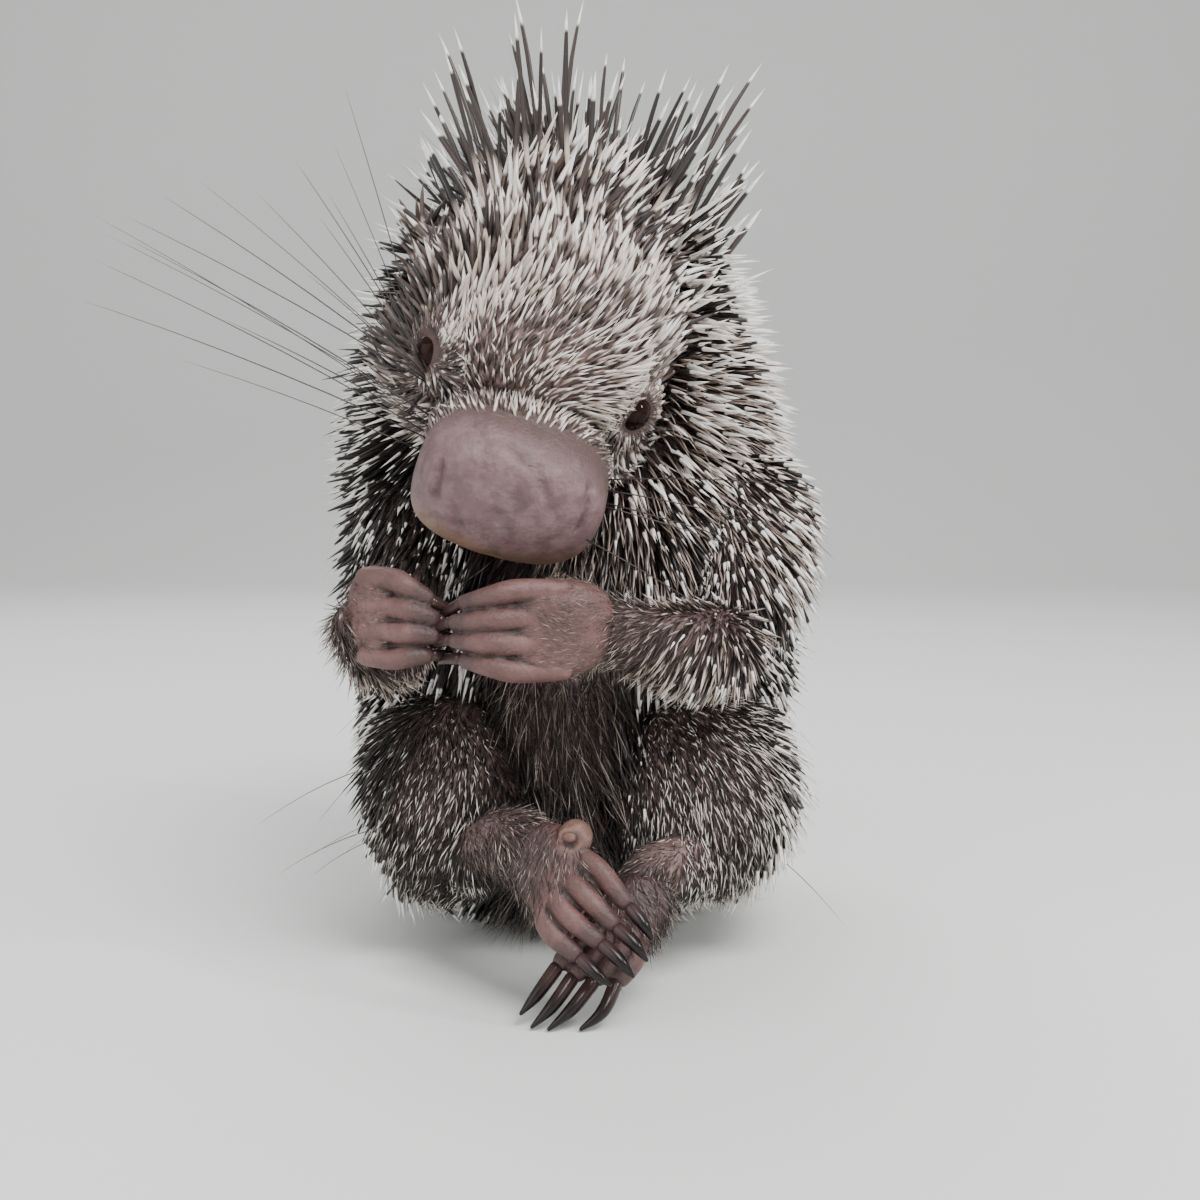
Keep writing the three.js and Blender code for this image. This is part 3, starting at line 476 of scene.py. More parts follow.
def melt(objects, name, voxel, smooth, faces):
    """Joins lumps of clay, melts them into one surface and thins its faces."""
    clay = face_out(join(objects, name))
    modify(clay, "REMESH", mode="VOXEL", voxel_size=voxel * MM, adaptivity=0)
    modify(clay, "SMOOTH", factor=0.5, iterations=smooth)
    found = len(clay.data.polygons) * 2
    modify(clay, "DECIMATE", ratio=min(1, faces / found), use_collapse_triangulate=True)
    print(name, "had", found, "triangles and keeps", len(clay.data.polygons))
    return clay


# %% Body, legs, arms and tail in one lot
body_lumps = [clay_limb(trunk, "trunk", -FUR_DEPTH, 48, 48), clay_limb(belly, "trunk", -FUR_DEPTH),
              clay_limb(nape, "trunk", -FUR_DEPTH)]
for kind, group in (("forearm", forearms), ("thigh", thighs), ("shank", shanks)):
    body_lumps += [clay_limb(limb, kind, -FUR_DEPTH) for limb in group.values()]
body_lumps += [clay_limb(limb, "upper_arm", -2 * FUR_DEPTH) for limb in upper_arms.values()]
body_lumps += [clay_limb(limb, "wrist") for limb in (*wrists.values(), *ankles.values())]
body_lumps.append(clay_limb(tail, "tail", 0, 32, 160))
body_lumps.append(clay_limb(skull, "skull", -FUR_DEPTH - 1))
body_clay = melt(body_lumps, "body_clay", 1.6, 14, 64000)

# %% [markdown]
# The head gets the smallest voxels after the hands. Its lids are rings of clay set on the front of the
# eyeballs, its ears are rings round a sunken disc, and the loose skin round each eye is a wider ring
# that hardly stands out.

# %% The head in its own lot
EAR = {"forward": -32, "left": 37, "up": 12, "wide": 7.5, "tall": 9}
LID_HALF = {1: 1.3, -1: 1.7}  # how thick the lids are, for each side
LID_OPENING = {1: (5.2, 5.8), -1: (3.0, 4.2)}  # half width and half height of the opening
LID_DROP = {1: 0.5, -1: 1.1}  # how far the lids hang
LID_TILT = {1: -0.5, -1: 0.35}


def ear_facing(way):
    return unit(0.62 * FORWARD + way * 0.78 * LEFT)


head_lumps = [clay_limb(skull, "skull", -FUR_DEPTH, 48, 40), clay_limb(muzzle, "muzzle", 0, 48, 40)]
head_lumps += [clay_limb(limb, "cheek", -FUR_DEPTH) for limb in cheeks.values()]
head_lumps.append(clay_limb(jaw, "jaw", -1))
for way in SIDES.values():
    facing = eye_facing(way)
    lid_at = eye_at(way) + 2.5 * facing - LID_DROP[way] * CROWN
    opening = [half + LID_HALF[way] for half in LID_OPENING[way]]
    head_lumps.append(clay_ring(lid_at, opening, LID_HALF[way], facing, LID_TILT[way]))
    head_lumps.append(clay_ring(eye_at(way), (7.8, 8.6), 2.4, facing, LID_TILT[way]))
    ear_at = in_head(EAR["forward"], way * EAR["left"], EAR["up"])
    head_lumps.append(clay_ring(ear_at + 0.5 * ear_facing(way), (5.7, 7.2), 1.5, ear_facing(way)))
    head_lumps.append(clay_ball(ear_at - 2.2 * ear_facing(way), (6.3, 7.8, 3), ear_facing(way)))
head_clay = melt(head_lumps, "head_clay", 0.75, 7, 60000)

# %% Hands and feet in the finest lot
paw_lumps = []
for name in SIDES:
    paw_lumps += [clay_limb(palms[name], "palm"), clay_limb(insteps[name], "instep")]
    paw_lumps += [clay_limb(limb, "digit") for limb in fingers[name] + toes[name]]
    pad = np.array(leg_plan[name]["pad"], float)
    paw_lumps.append(clay_ball(pad + [-0.4, 0.6, -0.8], (4.8, 4.6, 5.0), kind="pad"))
    paw_lumps.append(clay_ball(pad + [-2.4, 1.6, -5], (5.6, 4.4, 6.0), kind="instep"))
    paw_lumps.append(clay_ball(pad + [-2.2, -2.6, 0.4], (3.0, 2.3, 2.2), (-0.25, -1, 0.3), kind="pad"))
paw_clay = melt(paw_lumps, "paw_clay", 0.55, 5, 56000)

# %% [markdown]
# Small dents and creases come after the clay has melted, as a sculptor presses them in with a thumb or
# draws them with a tool. A dent moves the corners near a point, and a crease those near a short line,
# with a soft edge, so the surface stays closed.

# %% Dents and creases
def dent(obj, centre, radius, push):
    """Moves the corners within the radius of a point, most at its middle. All in millimetres."""
    corners = corners_of(obj)
    near = np.clip(1 - np.linalg.norm(corners - placed(centre), axis=1) / (radius * MM), 0, 1)
    ease = near**2 * (3 - 2 * near)
    move_corners(obj, corners + ease[:, None] * np.asarray(push) * MM)


def crease(obj, stations, half, depth):
    """Draws a line of this half width and depth through the stations, inwards from the surface."""
    corners = corners_of(obj)
    line = placed(line_through(stations, np.linspace(0, 1, 60)))
    line = np.array([obj.closest_point_on_mesh(Vector(p))[1] for p in line])
    normals = np.array([v.normal for v in obj.data.vertices])
    reach = np.sqrt(((corners[:, None, :] - line[None]) ** 2).sum(2).min(1)) / (half * MM)
    move_corners(obj, corners - normals * (np.exp(-reach**2) * depth * MM)[:, None])


NOSTRILS = {
    1: [[40, 17.3, -1.4], [42, 17.9, -5.5], [43, 18.2, -9.5]],
    -1: [[41, -19.1, -4], [43, -19.3, -8], [44, -19.1, -12]],
}
NOSE_WRINKLES = [  # stations, half width and depth; a depth below zero is a ridge
    ([[40, -7.5, 1.6], [43, 3.5, -2.2], [46, 8.7, -8.5]], 2.0, -0.7),
    ([[38, -4, 4], [42, 5, -0.5], [46, 12, -7]], 1.3, 0.7),
    ([[33, -14, 3], [38, -10, 1], [43, -9, -3]], 1.5, 0.5),
    ([[48, -4, -8], [51, 2, -13], [52, 3, -19]], 1.6, 0.5),
    ([[44, 12, -13], [47, 13, -19], [46, 14, -25]], 1.8, 0.5),
    ([[47, -14, -12], [49, -12, -18], [48, -10, -24]], 1.8, 0.5),
]


def crease_head(stations, half, depth):
    crease(head_clay, [in_head(*spot) for spot in stations], half, depth)


for way in SIDES.values():
    dent(head_clay, in_head(55, way * 10.5, -25), 5.2, -3.0 * FORWARD + way * 0.8 * LEFT)
    crease_head([[12, way * 20, -29], [30, way * 19, -35], [44, way * 12, -37], [50, 0, -36]], 1.3, 1.7)
    crease_head([[53, way * 13, -19], [48, way * 20, -22], [42, way * 23, -28]], 1.4, 0.5)
crease_head([[58, 0, -27], [54, 0, -33], [50, 0, -36]], 1.5, 1.0)
crease_head([[30, 2, 8], [45, 1, 3], [56, 0, -11]], 4.5, 0.5)
for way, nostril in NOSTRILS.items():
    crease_head(nostril, 1.3, 1.5)
    crease_head([spot + np.array([0.5, way * 2.6, 0]) for spot in nostril], 1.6, -0.8)
for wrinkle, half, depth in NOSE_WRINKLES:
    crease_head(wrinkle, half, depth)
print("head creased", len(head_clay.data.vertices), "corners")

pad = np.array(leg_plan["right"]["pad"], float)
turns = np.linspace(0, math.tau, 13)
nail = [pad + [3.1 * math.cos(turn) - 2.4, -4.4, 2.7 * math.sin(turn) + 0.5] for turn in turns]
crease(paw_clay, nail, 0.7, 0.7)

# %% Unite the lots into one skin
def unite(base, other):
    modify(base, "BOOLEAN", operation="UNION", solver="MANIFOLD", object=other)
    bpy.data.objects.remove(other)
    return base


skin = unite(unite(body_clay, head_clay), paw_clay)
skin.name = "skin"
active(skin)
bpy.ops.object.mode_set(mode="EDIT")
bpy.ops.mesh.select_all(action="SELECT")
bpy.ops.mesh.bisect(plane_co=(0, 0, 0), plane_no=(0, 0, 1), clear_inner=True, use_fill=True)
bpy.ops.object.mode_set(mode="OBJECT")
modify(skin, "TRIANGULATE")
bpy.ops.object.shade_smooth()
print("skin", len(skin.data.polygons), "triangles")

# %% [markdown]
# The finish and the coat both need to know where on the animal a point lies. The limbs kept their
# shapes from before they melted, so a search tree over them tells which kind of limb is nearest, and
# how close a point is to a bare one. The answers are stored on the skin as attributes for its material.

# %% Which limb a point belongs to
def tree_of(kinds):
    """A search tree over these kinds of limb, and the kind of each of its faces."""
    corners, faces, owners = [], [], []
    for kind in kinds:
        for shape_corners, shape_faces in lumps_by_kind[kind]:
            offset = len(corners)
            corners.extend(shape_corners.tolist())
            faces.extend(tuple(offset + i for i in face) for face in shape_faces)
            owners.extend([kind] * len(shape_faces))
    return BVHTree.FromPolygons(corners, faces), owners


limb_tree, face_kinds = tree_of(lumps_by_kind)


def kinds_of(points):
    """The kind of limb nearest to each point of the frame."""
    return np.array([face_kinds[limb_tree.find_nearest(Vector(p))[2]] for p in points])


def closeness(points, kinds, near, far):
    """1 within near millimetres of these kinds of limb, 0 beyond far."""
    tree, _ = tree_of(kinds)
    gaps = [tree.find_nearest(Vector(p), far * MM)[3] for p in points]
    away = np.array([far * MM if gap is None else gap for gap in gaps])
    share = np.clip((far * MM - away) / ((far - near) * MM), 0, 1)
    return share * share * (3 - 2 * share)


def give(obj, name, values):
    attribute = obj.data.attributes.new(name, "FLOAT", "POINT")
    attribute.data.foreach_set("value", np.asarray(values, np.float32))


def soft_step(value, low, high):
    share = np.clip((np.asarray(value, float) - low) / (high - low), 0, 1)
    return share * share * (3 - 2 * share)


def hollows(obj, rounds):
    """How deep each corner lies in a fold, in millimetres: its neighbours' mean, along its normal."""
    corners = corners_of(obj)
    ends = np.empty(len(obj.data.edges) * 2, np.int32)
    obj.data.edges.foreach_get("vertices", ends)
    one, other = ends.reshape(-1, 2).T
    count = np.bincount(ends, minlength=len(corners))[:, None]
    smooth = corners.copy()
    for _ in range(rounds):
        total = np.zeros_like(smooth)
        np.add.at(total, one, smooth[other])
        np.add.at(total, other, smooth[one])
        smooth = (smooth + total / count) / 2
    normals = np.empty(len(corners) * 3, np.float32)
    obj.data.vertices.foreach_get("normal", normals)
    return ((smooth - corners) * normals.reshape(-1, 3)).sum(1) / MM


skin_corners = corners_of(skin)
skin_at = skin_corners / MM - SHIFT
forward, aside, up = head_places(skin_at)
eye_gaps = {way: np.linalg.norm(skin_at - eye_at(way), axis=1) for way in SIDES.values()}
give(skin, "muzzle", closeness(skin_corners, ["muzzle"], 0.8, 2.6))
give(skin, "paw", closeness(skin_corners, ["palm", "instep", "digit", "pad"], 0.8, 3.5))
give(skin, "pad", closeness(skin_corners, ["pad"], 0.2, 2.0))
digits = closeness(skin_corners, ["digit", "pad"], 0.5, 4)
give(skin, "dusky", (1 - digits) * (skin_corners[:, 2] < 0.07))
give(skin, "tail", closeness(skin_corners, ["tail"], 0.5, 2.5))
claw_roots = np.array([limb.stations[0, :3] for row in claws.values() for limb in row])
claw_gaps = np.min([np.linalg.norm(skin_at - root, axis=1) for root in claw_roots], axis=0)
give(skin, "tip", 1 - soft_step(claw_gaps, 3, 9))
give(skin, "low", soft_step(-up, 16, 30))
# painted shadow: the top edge of the muzzle is darker where the fur overhangs it
give(skin, "painted_brow_shadow", 1 - soft_step(forward - 0.15 * aside, 29, 39))
give(skin, "face", soft_step(forward, -22, 2))
give(skin, "pink", 1 - soft_step(eye_gaps[1], 8, 14))
give(skin, "rim", 1 - soft_step(np.minimum(eye_gaps[1], eye_gaps[-1]), 6.9, 8.8))
# painted shade: the deeper the skin lies in a fold or crease, the darker it is painted
give(skin, "fold", soft_step(hollows(skin, 14), 0.02, 0.22))
print("skin attributes", [a.name for a in skin.data.attributes if a.data_type == "FLOAT"])

# %% [markdown]
# Every quill and hair grows from a point of the skin. The points are drawn at random over the skin's
# faces by their area, from a fixed seed, and those too close to an earlier one are dropped, so that they
# stand evenly, as follicles do. The skin is also laid out flat once, and each root keeps its place on
# that layout, so that a baked colour map finds a small patch of its own for each quill.

# %% Lay the skin out flat
active(skin)
bpy.ops.object.mode_set(mode="EDIT")
bpy.ops.mesh.select_all(action="SELECT")
bpy.ops.uv.smart_project(angle_limit=math.radians(66), island_margin=0.002)
bpy.ops.object.mode_set(mode="OBJECT")
skin.data.uv_layers.active.name = "layout"
layout = np.empty(len(skin.data.loops) * 2, np.float32)
skin.data.uv_layers["layout"].uv.foreach_get("vector", layout)
layout = layout.reshape(-1, 3, 2)
faces = np.empty(len(skin.data.polygons) * 3, np.int32)
skin.data.polygons.foreach_get("vertices", faces)
triangles = skin_corners[faces.reshape(-1, 3)]
crosses = np.cross(triangles[:, 1] - triangles[:, 0], triangles[:, 2] - triangles[:, 0])
face_areas = np.linalg.norm(crosses, axis=1) / 2
face_normals = unit(crosses)
corner_normals = np.empty(len(skin.data.vertices) * 3, np.float32)
skin.data.vertices.foreach_get("normal", corner_normals)
corner_normals = corner_normals.reshape(-1, 3)[faces.reshape(-1, 3)]
print("skin area", round(face_areas.sum() * 1e6), "square mm")

# %% Roots spread evenly over the skin
TRIES = 5


def spread(spacing, seed, wanted_kinds, wanted=None):
    """Roots this many millimetres apart on the wanted kinds of limb, as a dictionary of arrays."""
    draw = np.random.default_rng(seed)
    upto = np.cumsum(face_areas)
    count = int(TRIES * upto[-1] / (spacing * MM) ** 2)
    face = np.searchsorted(upto, draw.random(count) * upto[-1])
    first, second = np.sqrt(draw.random(count)), draw.random(count)
    share = np.stack([1 - first, first * (1 - second), first * second], 1)[:, :, None]
    place = (triangles[face] * share).sum(1)
    cell = np.floor(place / (spacing * MM)).astype(int)
    _, kept = np.unique(cell, axis=0, return_index=True)
    kept = np.sort(kept)
    place, face, share = place[kept], face[kept], share[kept]
    search = KDTree(len(place))
    for i, p in enumerate(place):
        search.insert(p, i)
    search.balance()
    free = np.ones(len(place), bool)
    for i, p in enumerate(place):
        if free[i]:
            for _, other, _ in search.find_range(p, 0.62 * spacing * MM):
                if other > i:
                    free[other] = False
    place, face, share = place[free], face[free], share[free]
    roots = {
        "place": place,
        "normal": unit((corner_normals[face] * share).sum(1)),
        "layout": (layout[face] * share).sum(1),
        "kind": kinds_of(place),
    }
    roots["at"] = place / MM - SHIFT
    keep = np.isin(roots["kind"], wanted_kinds)
    if wanted is not None:
        keep &= wanted(roots)
    return {key: value[keep] for key, value in roots.items()}


# %% [markdown]
# The lie of the coat is what makes it look combed by life and not glued on. Each kind of limb has its
# own rule, a short function: on the trunk the quills hang down the flanks and fan up over the nape, on
# the head they run back from the nose and rise towards the crown, and on a limb they run down to the
# hand or foot.

# %% The lie of the coat
# Each row is a place in millimetres and a value there: a height for the trunk, and for the head how
# far forward. The rises and lifts are in degrees, the rest in millimetres.
TRUNK_MIDDLE = [[0, 18], [100, 13], [142, 5], [180, -6], [236, -24]]
TRUNK_HALF = [[0, 44], [24, 61], [59, 69], [99, 69], [142, 66], [177, 55], [205, 44], [234, 31]]
TRUNK_RISE = [[40, -66], [70, -60], [110, -52], [140, -42], [160, -30], [178, -12], [194, 16], [210, 46],
              [230, 70]]
SIDE_RISE = [[40, -62], [75, -51], [106, -43], [137, -30], [150, -22], [175, -13], [205, -4], [225, 14],
             [240, 40]]
TRUNK_LENGTH = [[0, 15], [30, 19], [120, 20], [160, 20], [185, 24], [206, 38], [222, 50], [236, 56]]
SIDE_LENGTH = [[0, 14], [40, 16], [80, 15], [110, 13.5], [150, 15], [180, 19.5], [236, 21]]
HEAD_LIFT = [[-56, 62], [-38, 50], [-24, 38], [-10, 28], [4, 22], [20, 16]]
HEAD_LENGTH = [[-56, 27], [-46, 26], [-36, 25], [-26, 22], [-14, 17.5], [-2, 12.5], [8, 8.5], [18, 6],
               [28, 5]]
NOSE_FROM = (44, 0, -10)  # the face's fur runs back from here, in the head's axes
LONGER_ON_RIGHT, FLATTER_ON_RIGHT = 0.4, 32  # a share and degrees, on the animal's right
LEAST_STAND = 0.24  # how far a strand stands off the skin at the least, as a sine
LIMB_LIE = {  # flow with x outwards, lift in degrees, length
    "upper_arm": ((0.3, -0.1, -1), 18, 14),
    "forearm": ((-0.35, -0.3, -0.8), 22, 10),
    "wrist": ((-0.7, -0.4, -0.5), 18, 7),
    "thigh": ((0.35, -0.2, -1), 22, 10),
    "shank": ((0.1, -0.4, -0.8), 20, 7),
    "palm": ((-0.8, -0.4, 0.1), 14, 3.2),
    "instep": ((0.3, -0.6, -0.6), 14, 4),
}


def table(pairs, at):
    pairs = np.array(pairs, float)
    return np.interp(at, pairs[:, 0], pairs[:, 1])


def lifted(flow, normal, degrees):
    """The flow laid on the surface, then raised off it by so many degrees."""
    flat = unit(flow - normal * (flow * normal).sum(1, keepdims=True))
    angle = np.radians(degrees)[:, None]
    return flat * np.cos(angle) + normal * np.sin(angle)


TAIL_STEPS = np.linspace(0, tail.length, 200)
TAIL_LINE, TAIL_WAY = tail.slices(TAIL_STEPS)[:2]


def tail_flow(at):
    """The way to the tail's tip, at the part of the tail nearest to each point."""
    search = KDTree(len(TAIL_LINE))
    for i, place in enumerate(TAIL_LINE):
        search.insert(place, i)
    search.balance()
    return TAIL_WAY[[search.find(place)[1] for place in at]]


DRIFT_WAVES = np.random.default_rng(71).normal(size=(4, 3, 5))
DRIFT_STARTS = np.random.default_rng(72).uniform(0, math.tau, (4, 5))


def drift(at, size):
    """Four numbers, about -1 to 1, that wander over the body with swells of about this size."""
    return np.sin(np.einsum("nk,ckw->ncw", at / size, DRIFT_WAVES) + DRIFT_STARTS).sum(2) / 2.2


def either_way(draw, most, *size):
    return draw.uniform(-most, most, size)


def trunk_lie(at, normal, draw):
    """Down the flanks, and fanned up over the nape."""
    x, y, height = at.T
    away = np.stack([(x - BODY_X) / W, (y - table(TRUNK_MIDDLE, height)) / D, 0 * height], 1)
    front = np.clip(-normal[:, 1] - 0.35, 0, 1) * np.clip((190 - height) / 40, 0, 1)
    beside = np.clip((np.abs(x - BODY_X) / table(TRUNK_HALF, height) - 0.5) / 0.35, 0, 1)
    rise = (1 - beside) * table(TRUNK_RISE, height) + beside * table(SIDE_RISE, height)
    rise = np.radians(rise + either_way(draw, 9, len(at)) - 12 * front)
    fan = unit(away) * np.cos(rise)[:, None] + np.array([0, 0, 1]) * np.sin(rise)[:, None]
    fan += either_way(draw, 0.1, len(at), 3)
    reach = (1 - beside) * table(TRUNK_LENGTH, height) + beside * table(SIDE_LENGTH, height)
    reach *= 1 + LONGER_ON_RIGHT * (x < BODY_X) * soft_step(height, 90, 120)
    back = 1 + 0.5 * np.clip(normal[:, 1] - 0.2, 0, 0.6)
    return fan, reach * (1 - 0.3 * front) * back


def head_lie(at, normal, draw):
    """Back from the nose, round the eyes, and up towards the crown."""
    forward, aside, up = head_places(at)
    flow = at - in_head(*NOSE_FROM)
    flow = unit(flow - normal * (flow * normal).sum(1, keepdims=True)) + either_way(draw, 0.3, len(at), 3)
    near_eye = np.ones(len(at))
    for way in SIDES.values():
        from_eye = at - eye_at(way)
        eye_away = np.linalg.norm(from_eye, axis=1)
        flow += unit(from_eye) * (3.2 * np.clip(1 - (eye_away - 8) / 10, 0, 1))[:, None]
        near_eye *= np.clip((eye_away - 6) / 12, 0.25, 1)
    low, temple = np.clip(-up / 26, 0, 1), soft_step(np.abs(aside), 12, 32)
    right, behind = soft_step(-aside, 18, 32), soft_step(-forward, 6, 26)
    lift = table(HEAD_LIFT, forward) * (1 - 0.25 * low) * (0.5 + 0.5 * near_eye)
    lift -= right * FLATTER_ON_RIGHT * behind
    reach = table(HEAD_LENGTH, forward) * (1 + right * (0.7 * soft_step(forward, -14, 4) - 0.35 * behind))
    reach = reach * (1 - 0.25 * temple) * (1 - 0.1 * low) * near_eye
    return lifted(flow, normal, lift + either_way(draw, 11, len(at))), reach


def limb_lie(limb):
    """Down this limb to the hand or foot, longer on its outer side."""
    flow, lift, reach = LIMB_LIE[limb]

    def lie(at, normal, draw):
        way = np.sign(at[:, 0] - BODY_X)
        down = unit(np.array(flow) * np.stack([way, way**2, way**2], 1)) + either_way(draw, 0.18, len(at), 3)
        outside = np.clip(0.8 + 0.4 * normal[:, 0] * way, 0.55, 1)
        return lifted(down, normal, lift + either_way(draw, 8, len(at))), reach * outside
    return lie


def tail_lie(at, normal, draw):
    """Along the tail, shorter towards its tip."""
    flow = tail_flow(at) + either_way(draw, 0.2, len(at), 3)
    from_root = np.linalg.norm(at - TAIL_ROOT, axis=1)
    return lifted(flow, normal, 20 + either_way(draw, 8, len(at))), 16 - 10 * np.clip(from_root / 110, 0, 1)


FACE = ["skull", "cheek", "jaw"]
LIES = [(["trunk"], trunk_lie), ([*FACE, "muzzle"], head_lie)]
LIES += [([limb], limb_lie(limb)) for limb in LIMB_LIE] + [(["tail"], tail_lie)]


def lie_of(roots, draw):
    """The direction and the full length in millimetres of the quill at each root."""
    at, normal, kind = roots["at"], roots["normal"], roots["kind"]
    direction, length = normal.copy(), np.full(len(at), 8.0)
    for kinds, lie in LIES:
        on = np.isin(kind, kinds)
        flow, reach = lie(at, normal, draw)
        direction[on], length[on] = flow[on], reach[on]
    swirl = np.where(np.isin(kind, FACE), 0.3, 0.2)[:, None]
    direction = unit(unit(direction) + swirl * drift(at, 9)[:, :3])
    length *= 1 + 0.14 * drift(at, 14)[:, 3]
    stand = (direction * normal).sum(1, keepdims=True)
    direction = unit(direction + normal * np.clip(LEAST_STAND - stand, 0, 1))
    return direction, length


# %% [markdown]
# A quill is modelled once, by hand: a small disc is extruded ring by ring to its tip, each ring
# scaled to the quill's own spindle shape, and the last one merged to a point. Its corners are then
# read as an array, and NumPy writes thousands of copies into one mesh, each turned along its own lie,
# with its own length, thickness and bend. Three numbers go with every corner: how far along the quill it
# lies, where the pale band begins, and a shade of its own. The material paints the bands from them.

# %% One strand, and many
def strand(name, sides, profile):
    """A closed strand from z 0 to 1. The profile is [[share of length, share of half width], ...]."""
    bpy.ops.mesh.primitive_circle_add(vertices=sides, radius=profile[0][1], fill_type="NGON")
    obj = bpy.context.object
    bpy.ops.object.mode_set(mode="EDIT")
    bpy.ops.mesh.select_all(action="SELECT")
    for (low, thin), (high, thick) in zip(profile, profile[1:]):
        bpy.ops.mesh.extrude_region_move(TRANSFORM_OT_translate={"value": (0, 0, high - low)})
        bpy.ops.transform.resize(value=(thick / thin, thick / thin, 1), center_override=(0, 0, high))
    bpy.ops.mesh.merge(type="CENTER")
    bpy.ops.mesh.select_all(action="SELECT")
    bpy.ops.mesh.normals_make_consistent(inside=False)
    bpy.ops.mesh.quads_convert_to_tris()
    bpy.ops.object.mode_set(mode="OBJECT")
    shape = np.empty(len(obj.data.polygons) * 3, np.int32)
    obj.data.polygons.foreach_get("vertices", shape)
    made = {"corners": corners_of(obj), "faces": shape.reshape(-1, 3)}
    bpy.data.objects.remove(obj)
    print(name, "strand", len(made["corners"]), "corners", len(made["faces"]), "triangles")
    return made


SPINDLE = strand("spindle", 5, [[0, 0.45], [0.3, 0.85], [0.56, 1], [0.78, 0.68], [1, 0.02]])
NEEDLE = strand("needle", 6, [[0, 0.7], [0.15, 0.95], [0.35, 1], [0.55, 1], [0.75, 0.95], [0.88, 0.7],
                              [1, 0.04]])
GRAIN = strand("grain", 4, [[0, 0.6], [0.45, 1], [1, 0.03]])
BRISTLE = strand("bristle", 3, [[0, 0.7], [0.45, 1], [0.75, 0.85], [1, 0.08]])
HAIR = strand("hair", 3, [[0, 1], [0.5, 0.8], [1, 0.12]])
UV_PATCH = 0.003  # the share of the skin's layout that a strand covers
SINK = 1.5  # how deep a root sits in the skin
OFF_FLOOR = 0.0006  # metres


def grow(name, pattern, roots, direction, length, half, band, bend, seed):
    """One mesh with a copy of the pattern at every root. Lengths in millimetres."""
    draw = np.random.default_rng(seed)
    count, size = len(length), len(pattern["corners"])
    length, half, band = (np.broadcast_to(v, count).astype(float) for v in (length, half, band))
    along = pattern["corners"][:, 2]
    side = unit(np.cross(direction, draw.normal(size=(count, 3))))
    other = np.cross(direction, side)
    whole = (length + SINK) * MM
    start = roots["place"] - direction * SINK * MM
    spine = start[:, None] + direction[:, None] * (along[None, :, None] * whole[:, None, None])
    spine += bend[:, None] * (along**2)[None, :, None] * whole[:, None, None]
    thick = (half * MM)[:, None, None]
    across, deep = pattern["corners"][None, :, :1], pattern["corners"][None, :, 1:2]
    turned = side[:, None] * across + other[:, None] * deep
    corners = (spine + turned * thick).reshape(-1, 3)
    corners[:, 2] = np.maximum(corners[:, 2], OFF_FLOOR)
    faces = (pattern["faces"][None] + (np.arange(count) * size)[:, None, None]).reshape(-1, 3)
    mesh = bpy.data.meshes.new(name)
    mesh.vertices.add(len(corners))
    mesh.vertices.foreach_set("co", corners.astype(np.float32).ravel())
    mesh.loops.add(faces.size)
    mesh.loops.foreach_set("vertex_index", faces.astype(np.int32).ravel())
    mesh.polygons.add(len(faces))
    mesh.polygons.foreach_set("loop_start", np.arange(0, faces.size, 3, dtype=np.int32))
    mesh.update(calc_edges=True)
    mesh.shade_smooth()
    obj = bpy.data.objects.new(name, mesh)
    bpy.context.collection.objects.link(obj)
    give(obj, "along", np.tile(along, count))
    give(obj, "band", np.repeat(band, size))
    give(obj, "shade", np.repeat(draw.random(count), size))
    turn = np.arctan2(pattern["corners"][:, 1], pattern["corners"][:, 0]) / math.tau + 0.5
    spots = roots["layout"][:, None] + np.stack([turn, along], 1)[None] * UV_PATCH
    layer = mesh.uv_layers.new(name="OFBake")
    layer.uv.foreach_set("vector", spots.reshape(-1, 2)[faces.ravel()].astype(np.float32).ravel())
    print(name, count, "strands", len(faces), "triangles")
    return obj

# %% [markdown]
# A material is a small network of nodes. The quills all share one recipe: the attribute along, less
# the quill's own band, is turned by Map Range into an abrupt step from dark to pale, as a real quill has,
# and the shade shifts both colours a little, so that no two neighbours look stamped from one mould.

# %% Finishes for the coat
def new_material(name, roughness, **settings):
    material = bpy.data.materials.new(name)
    material.use_nodes = True
    shader = material.node_tree.nodes["Principled BSDF"]
    shader.inputs["Roughness"].default_value = roughness
    for key, value in settings.items():
        shader.inputs[key.replace("_", " ")].default_value = value
    return material, material.node_tree, shader


def node(tree, kind, **settings):
    made = tree.nodes.new("ShaderNode" + kind)
    for key, value in settings.items():
        setattr(made, key, value)
    return made


def attribute(tree, name):
    return node(tree, "Attribute", attribute_name=name).outputs["Fac"]


def blend(tree, share, first, second):
    """Mixes two colours, or colour outputs, by a share."""
    mix = node(tree, "Mix", data_type="RGBA")
    for socket, value in ((mix.inputs[0], share), (mix.inputs[6], first), (mix.inputs[7], second)):
        if isinstance(value, bpy.types.NodeSocket):
            tree.links.new(value, socket)
        else:
            socket.default_value = value if isinstance(value, float) else (*value, 1)
    return mix.outputs[2]


def ramp(tree, value, low, high, start=0.0, stop=1.0):
    """Rises smoothly from start to stop as the value goes from low to high."""
    made = node(tree, "MapRange", interpolation_type="SMOOTHSTEP")
    tree.links.new(value, made.inputs["Value"])
    for key, number in (("From Min", low), ("From Max", high), ("To Min", start), ("To Max", stop)):
        made.inputs[key].default_value = number
    return made.outputs["Result"]


def math_node(tree, operation, first, second):
    made = node(tree, "Math", operation=operation)
    for socket, value in zip(made.inputs, (first, second)):
        if isinstance(value, bpy.types.NodeSocket):
            tree.links.new(value, socket)
        else:
            socket.default_value = value
    return made.outputs[0]


